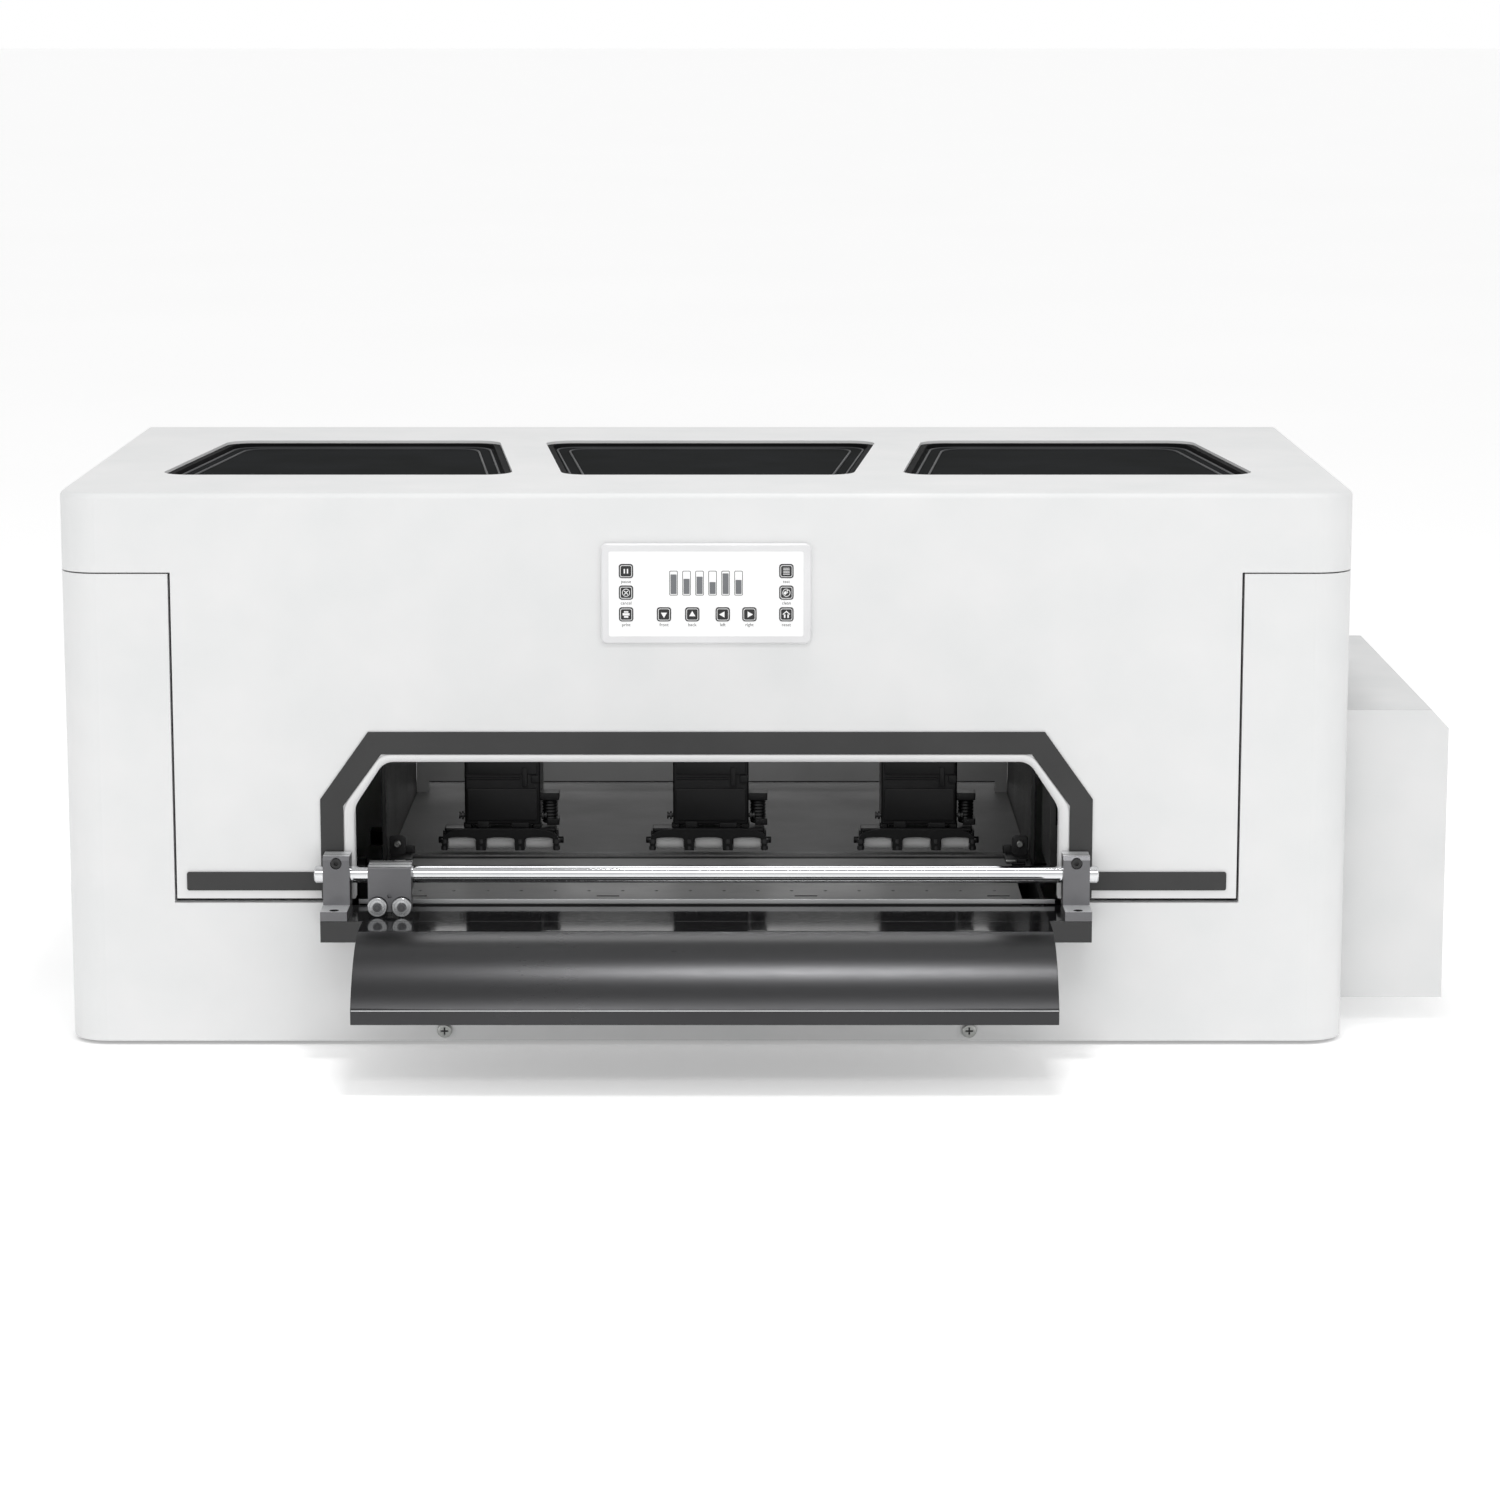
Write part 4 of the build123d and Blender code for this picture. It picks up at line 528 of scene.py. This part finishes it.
def window_path(points, radius, inset, steps=10):
    """Closed path in a four-sided window: drawn towards its middle by inset, with quadratic bends at its corners."""
    p = np.array(points, float)
    middle = p.mean(0)
    p = middle + (p - middle) * (1 - inset / np.abs(p - middle).max(0))
    t = np.linspace(0, 1, steps)[:, None]
    runs = []
    for k in range(4):
        before, at, after = p[k - 1], p[k], p[(k + 1) % 4]
        near = at + (before - at) / np.linalg.norm(before - at) * radius
        far = at + (after - at) / np.linalg.norm(after - at) * radius
        runs.append((1 - t) ** 2 * near + 2 * t * (1 - t) * at + t**2 * far)
    return np.concatenate(runs)


def closed_tube(path, section, up):
    """Section carried round a closed path: sideways is the line between both neighbours, crossed with up."""
    tangent = np.roll(path, -1, 0) - np.roll(path, 1, 0)
    tangent /= np.linalg.norm(tangent, axis=1)[:, None]
    up = np.asarray(up, float)
    side = np.cross(tangent, up)
    a, b = np.asarray(section, float).T
    rows = path[:, None, :] + side[:, None, :] * a[None, :, None] + up[None, None, :] * b[None, :, None]
    return np.concatenate([rows, rows[:1]])


def window_beads():
    """Two moulded lines on each pane that follow the outline of its window."""
    pane_top = span("window_panes")[1][2]
    y0, y1 = FRONT + 115.0, FRONT + 354.0
    shapes = [[(-104, y0), (104, y0), (128, y1), (-128, y1)]]
    shapes.append([(139, y0), (394, y0), (370, y1), (163, y1)])
    shapes.append([(-394, y0), (-139, y0), (-163, y1), (-370, y1)])
    grids = []
    for shape in shapes:
        for inset in (9.0, 19.0):
            flat = window_path(shape, 22.0, inset)
            path = np.column_stack([flat, np.full(len(flat), pane_top + 0.3)])
            grids.append(closed_tube(path, circle(0.8, 8), (0, 0, 1)))
    piece("window_beads", grids, GASKET_BEAD, "cover")


# ---------------------------------------------------------------- control panel
# Word printed under each key.
KEYS = {"pause": "pause", "cancel": "cancel", "print": "print", "out": "front", "in": "back",
        "left": "left", "right": "right", "test": "test", "clean": "clean", "home": "reset"}


def band(outer, inner, y0, y1):
    """Closed band between an outer and an inner loop: front-outer, back-outer, back-inner, front-inner."""
    loops = [(outer, y0), (outer, y1), (inner, y1), (inner, y0)]
    rows = [np.column_stack([p[:, 0], np.full(len(p), y), p[:, 1]]) for p, y in loops]
    return np.array(rows + rows[:1])


def dot(r, x, z, n=20):
    """Circle of radius r round (x, z)."""
    return circle(r, n) + (x, z)


def bar(x0, z0, x1, z1, w):
    """Straight bar of width w between two points."""
    a, b = np.array([x0, z0], float), np.array([x1, z1], float)
    d = (b - a) / np.linalg.norm(b - a)
    s = np.array([-d[1], d[0]]) * w / 2
    return np.array([a + s, a - s, b - s, b + s])


def glyph(name):
    """Outlines of a key's sign, about 5 mm across, round (0, 0)."""
    arrows = {"out": 180, "in": 0, "left": 90, "right": -90}
    if name in arrows:
        a = np.radians(np.array([90, 210, 330]) + arrows[name])
        return [np.column_stack([np.cos(a), np.sin(a)]) * 2.5]
    if name == "pause":
        return [bar(-1.1, -1.6, -1.1, 1.6, 0.9), bar(1.1, -1.6, 1.1, 1.6, 0.9)]
    if name == "cancel":
        return [bar(-1.3, -1.3, 1.3, 1.3, 0.55), bar(-1.3, 1.3, 1.3, -1.3, 0.55)]
    if name == "print":
        return [bar(-2.4, 0.1, 2.4, 0.1, 1.7), bar(-1.5, 1.8, 1.5, 1.8, 1.0), bar(-1.5, -1.7, 1.5, -1.7, 1.2)]
    if name == "test":
        return [bar(-2.2, k, 2.2, k, 0.38) for k in (-2.1, -1.05, 0, 1.05, 2.1)]
    if name == "clean":
        return [bar(-0.2, 0.4, 1.6, 2.2, 0.7), bar(-1.5, -0.9, 0.5, 0.9, 1.9), bar(-2.0, -2.0, -0.6, -1.4, 0.5)]
    roof = np.array([(-2.7, 0.2), (0, 2.6), (2.7, 0.2), (2.1, -0.2), (0, 1.7), (-2.1, -0.2)])
    return [roof, bar(-1.2, -2.4, -1.2, 0.0, 1.1), bar(1.2, -2.4, 1.2, 0.0, 1.1)]


def key_signs():
    """Printed sign on each key, with a rounded line round it, and a ring round two of them."""
    for name in KEYS:
        low, high = span("key_" + name)
        x, z = (low[0] + high[0]) / 2, (low[2] + high[2]) / 2
        y0, y1 = low[1] - 0.05, low[1] + 0.1
        frame_line = band(rounded_loop(4.1, 4.1, 1.4) + (x, z), rounded_loop(3.72, 3.72, 1.1) + (x, z), y0, y1)
        grids = [frame_line] + [prism(g + (x, z), y0, y1) for g in glyph(name)]
        if name in ("cancel", "clean"):
            grids.append(band(dot(2.75, x, z), dot(2.35, x, z), y0, y1))
        piece("sign_" + name, grids, INK_WHITE, "key_" + name)


def words(text, x, z, size, y):
    """Small generic word as a mesh: a flat text curve turned upright, its letters 0.06 mm thick."""
    curve = bpy.data.curves.new("word_" + text, "FONT")
    curve.body = text
    curve.size = size * MM
    curve.align_x = "CENTER"
    curve.extrude = 0.03 * MM
    curve.resolution_u = 3
    holder = bpy.data.objects.new("word_" + text, curve)
    bpy.context.scene.collection.objects.link(holder)
    bpy.context.view_layer.update()
    mesh = bpy.data.meshes.new_from_object(holder.evaluated_get(bpy.context.evaluated_depsgraph_get()))
    bpy.data.objects.remove(holder)
    flat = np.zeros(len(mesh.vertices) * 3)
    mesh.vertices.foreach_get("co", flat)
    flat = flat.reshape(-1, 3)
    place = np.column_stack([flat[:, 0] + x * MM, y * MM - flat[:, 2], flat[:, 1] + z * MM])
    mesh.vertices.foreach_set("co", place.ravel())
    mesh.materials.append(INK_BLACK_AND_SHADE)
    made = bpy.data.objects.new("label_" + text, mesh)
    bpy.context.scene.collection.objects.link(made)
    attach(made, "cover")


def panel_marks():
    """A word under each key and six ink-level bars in rounded frames."""
    face = span("panel_face")[0][1]
    for name, text in KEYS.items():
        low, high = span("key_" + name)
        words(text, (low[0] + high[0]) / 2, low[2] - 3.6, 3.1, face - 0.02)
    middle = (BEZEL_LOW + BEZEL_HIGH) / 2
    outlines, levels = [], []
    for i, level in enumerate((0.9, 0.7, 0.8, 0.55, 0.95, 0.65)):
        x = middle[0] + (i - 2.5) * 9.0
        z = middle[2] + 7.5
        outer, inner = rounded_loop(2.9, 8.6, 0.9) + (x, z), rounded_loop(2.5, 8.2, 0.6) + (x, z)
        outlines.append(band(outer, inner, face - 0.06, face + 0.1))
        h = 15.2 * level
        levels.append(prism(rounded_loop(2.1, h / 2, 0.4) + (x, z - 7.6 + h / 2), face - 0.05, face + 0.1))
    piece("level_frames", outlines, INK_BLACK_AND_SHADE, "cover")
    piece("level_bars", levels, INK_GREY, "cover")


# ---------------------------------------------------------------- back and sides
def back_screws():
    """Pan-head screws round the back wall and beside the ports."""
    head = [(0.05, 2.4), (1.6, 2.4), (3.0, 2.0), (3.9, 1.1), (4.1, 0), (0.05, 0)]
    places = [(x, z) for x in BACK_SCREW_X for z in BACK_SCREW_Z]
    grids = [lathe(head, (x, BACK, z), "y", 32) for x, z in places]
    for x in (-350, -310):
        grids.append(lathe([(r * 0.4, h * 0.5) for r, h in head], (x, BACK + 3, 60), "y", 24))
    piece("back_screws", grids, ZINC, "chassis")
    # Black bars across each head: painted shade in the screw slots.
    slots = [prism(bar(x - 2, z, x + 2, z, 0.7), BACK + 1.9, BACK + 2.45) for x, z in places]
    slots += [prism(bar(x, z - 2, x, z + 2, 0.7), BACK + 1.9, BACK + 2.45) for x, z in places]
    piece("back_screw_slots", slots, INK_BLACK_AND_SHADE, "chassis")


def front_screw_crosses():
    """Cross recesses in the screw heads under the apron: two black bars across each head, painted shade for the
    recesses.
    """
    low, high = span("case_screws")
    z = (low[2] + high[2]) / 2
    head_radius = (high[2] - low[2]) / 2
    grids = []
    for x in (low[0] + head_radius, high[0] - head_radius):
        grids.append(prism(bar(x - 2.4, z, x + 2.4, z, 1.1), low[1] + 0.01, low[1] + 0.8))
        grids.append(prism(bar(x, z - 2.4, x, z + 2.4, 1.1), low[1] + 0.02, low[1] + 0.8))
    piece("front_screw_crosses", grids, INK_BLACK_AND_SHADE, "chassis")


def slot_brush():
    """Rubber edging round the rear film slot: a round bead carried round a rounded rectangle."""
    flat = rounded_loop(232, 12, 3) + (0, PLATEN_HIGH[2] + 12)
    path = np.column_stack([flat[:, 0], np.full(len(flat), BACK + 0.3), flat[:, 1]])
    piece("slot_edging", [closed_tube(path, circle(1.3, 12), (0, 1, 0))], RUBBER, "chassis")


opening_lip()
heated_apron()
cutter_rod()
bearings()
pinch_units()
zone_details()
window_beads()
key_signs()
panel_marks()
back_screws()
front_screw_crosses()
slot_brush()


# ---------------------------------------------------------------- studio
# Opal acrylic table lit faintly from below, so that the floor stays white.
GLOW = {"Emission Color": (1, 1, 1, 1), "Emission Strength": 0.3}


def studio():
    """Pale floor and a sky that is white at the horizon and dimmer overhead."""
    floor_mesh = bpy.data.meshes.new("floor")
    s = 60.0
    floor_mesh.from_pydata([(-s, -s, 0), (s, -s, 0), (s, s, 0), (-s, s, 0)], [], [(0, 1, 2, 3)])
    floor = bpy.data.objects.new("floor", floor_mesh)
    bpy.context.scene.collection.objects.link(floor)
    table = finish("studio_light_table", "#fdfdfd", "#fbfbfb", 0.8, 0.02, 5.0, 0.0, patch=900.0, **GLOW)
    floor_mesh.materials.append(table)
    world = bpy.data.worlds.new("studio")
    bpy.context.scene.world = world
    world.use_nodes = True
    tree = world.node_tree
    tree.nodes.clear()
    sky = add(tree, "ShaderNodeTexCoord", {})
    height = add(tree, "ShaderNodeSeparateXYZ", {}, {"Vector": (sky, "Generated")})
    fade = {"From Min": 0.15, "From Max": 0.6, "To Min": 1.0, "To Max": 0.6}
    level = add(tree, "ShaderNodeMapRange", fade, {"Value": (height, "Z")})
    glow = add(tree, "ShaderNodeBackground", {"Color": (1, 1, 1, 1)}, {"Strength": (level, "Result")})
    add(tree, "ShaderNodeOutputWorld", {}, {"Surface": (glow, "Background")})


def softbox(name, place, aim, width, height, radiance):
    """Rectangular lamp of a given size in metres and brightness."""
    lamp = bpy.data.lights.new(name, "AREA")
    lamp.shape = "RECTANGLE"
    lamp.size, lamp.size_y = width, height
    lamp.energy = radiance * width * height * math.pi
    made = bpy.data.objects.new(name, lamp)
    bpy.context.scene.collection.objects.link(made)
    made.location = place
    made.rotation_euler = (Vector(aim) - Vector(place)).to_track_quat("-Z", "Y").to_euler()


studio()
softbox("overhead_strip", (0.13, -0.42, 2.6), (0.13, -0.42, 0), 0.5, 0.3, 34.0)
softbox("front_strip", (0.1, -2.3, 2.1), (0.0, -0.35, 0.05), 1.4, 0.5, 6.0)
softbox("platen_fill", (0, FRONT * MM + 0.062, 0.2075), (0, FRONT * MM + 0.062, 0), 0.42, 0.08, 2.1)
softbox("guide_fill", (0, 0.10, 0.208), (0, 0.10, 0), 0.44, 0.16, 1.0)

camera_data = bpy.data.cameras.new("camera")
camera_data.lens = 101.95
camera_data.sensor_width = 36.0
camera_data.clip_start, camera_data.clip_end = 0.05, 200
camera = bpy.data.objects.new("camera", camera_data)
bpy.context.scene.collection.objects.link(camera)
camera.location = (0.0304, -3.1495, 0.7278)
camera.rotation_euler = (math.radians(79.965), 0, 0)
bpy.context.scene.camera = camera
bpy.context.scene.view_settings.view_transform = "Standard"
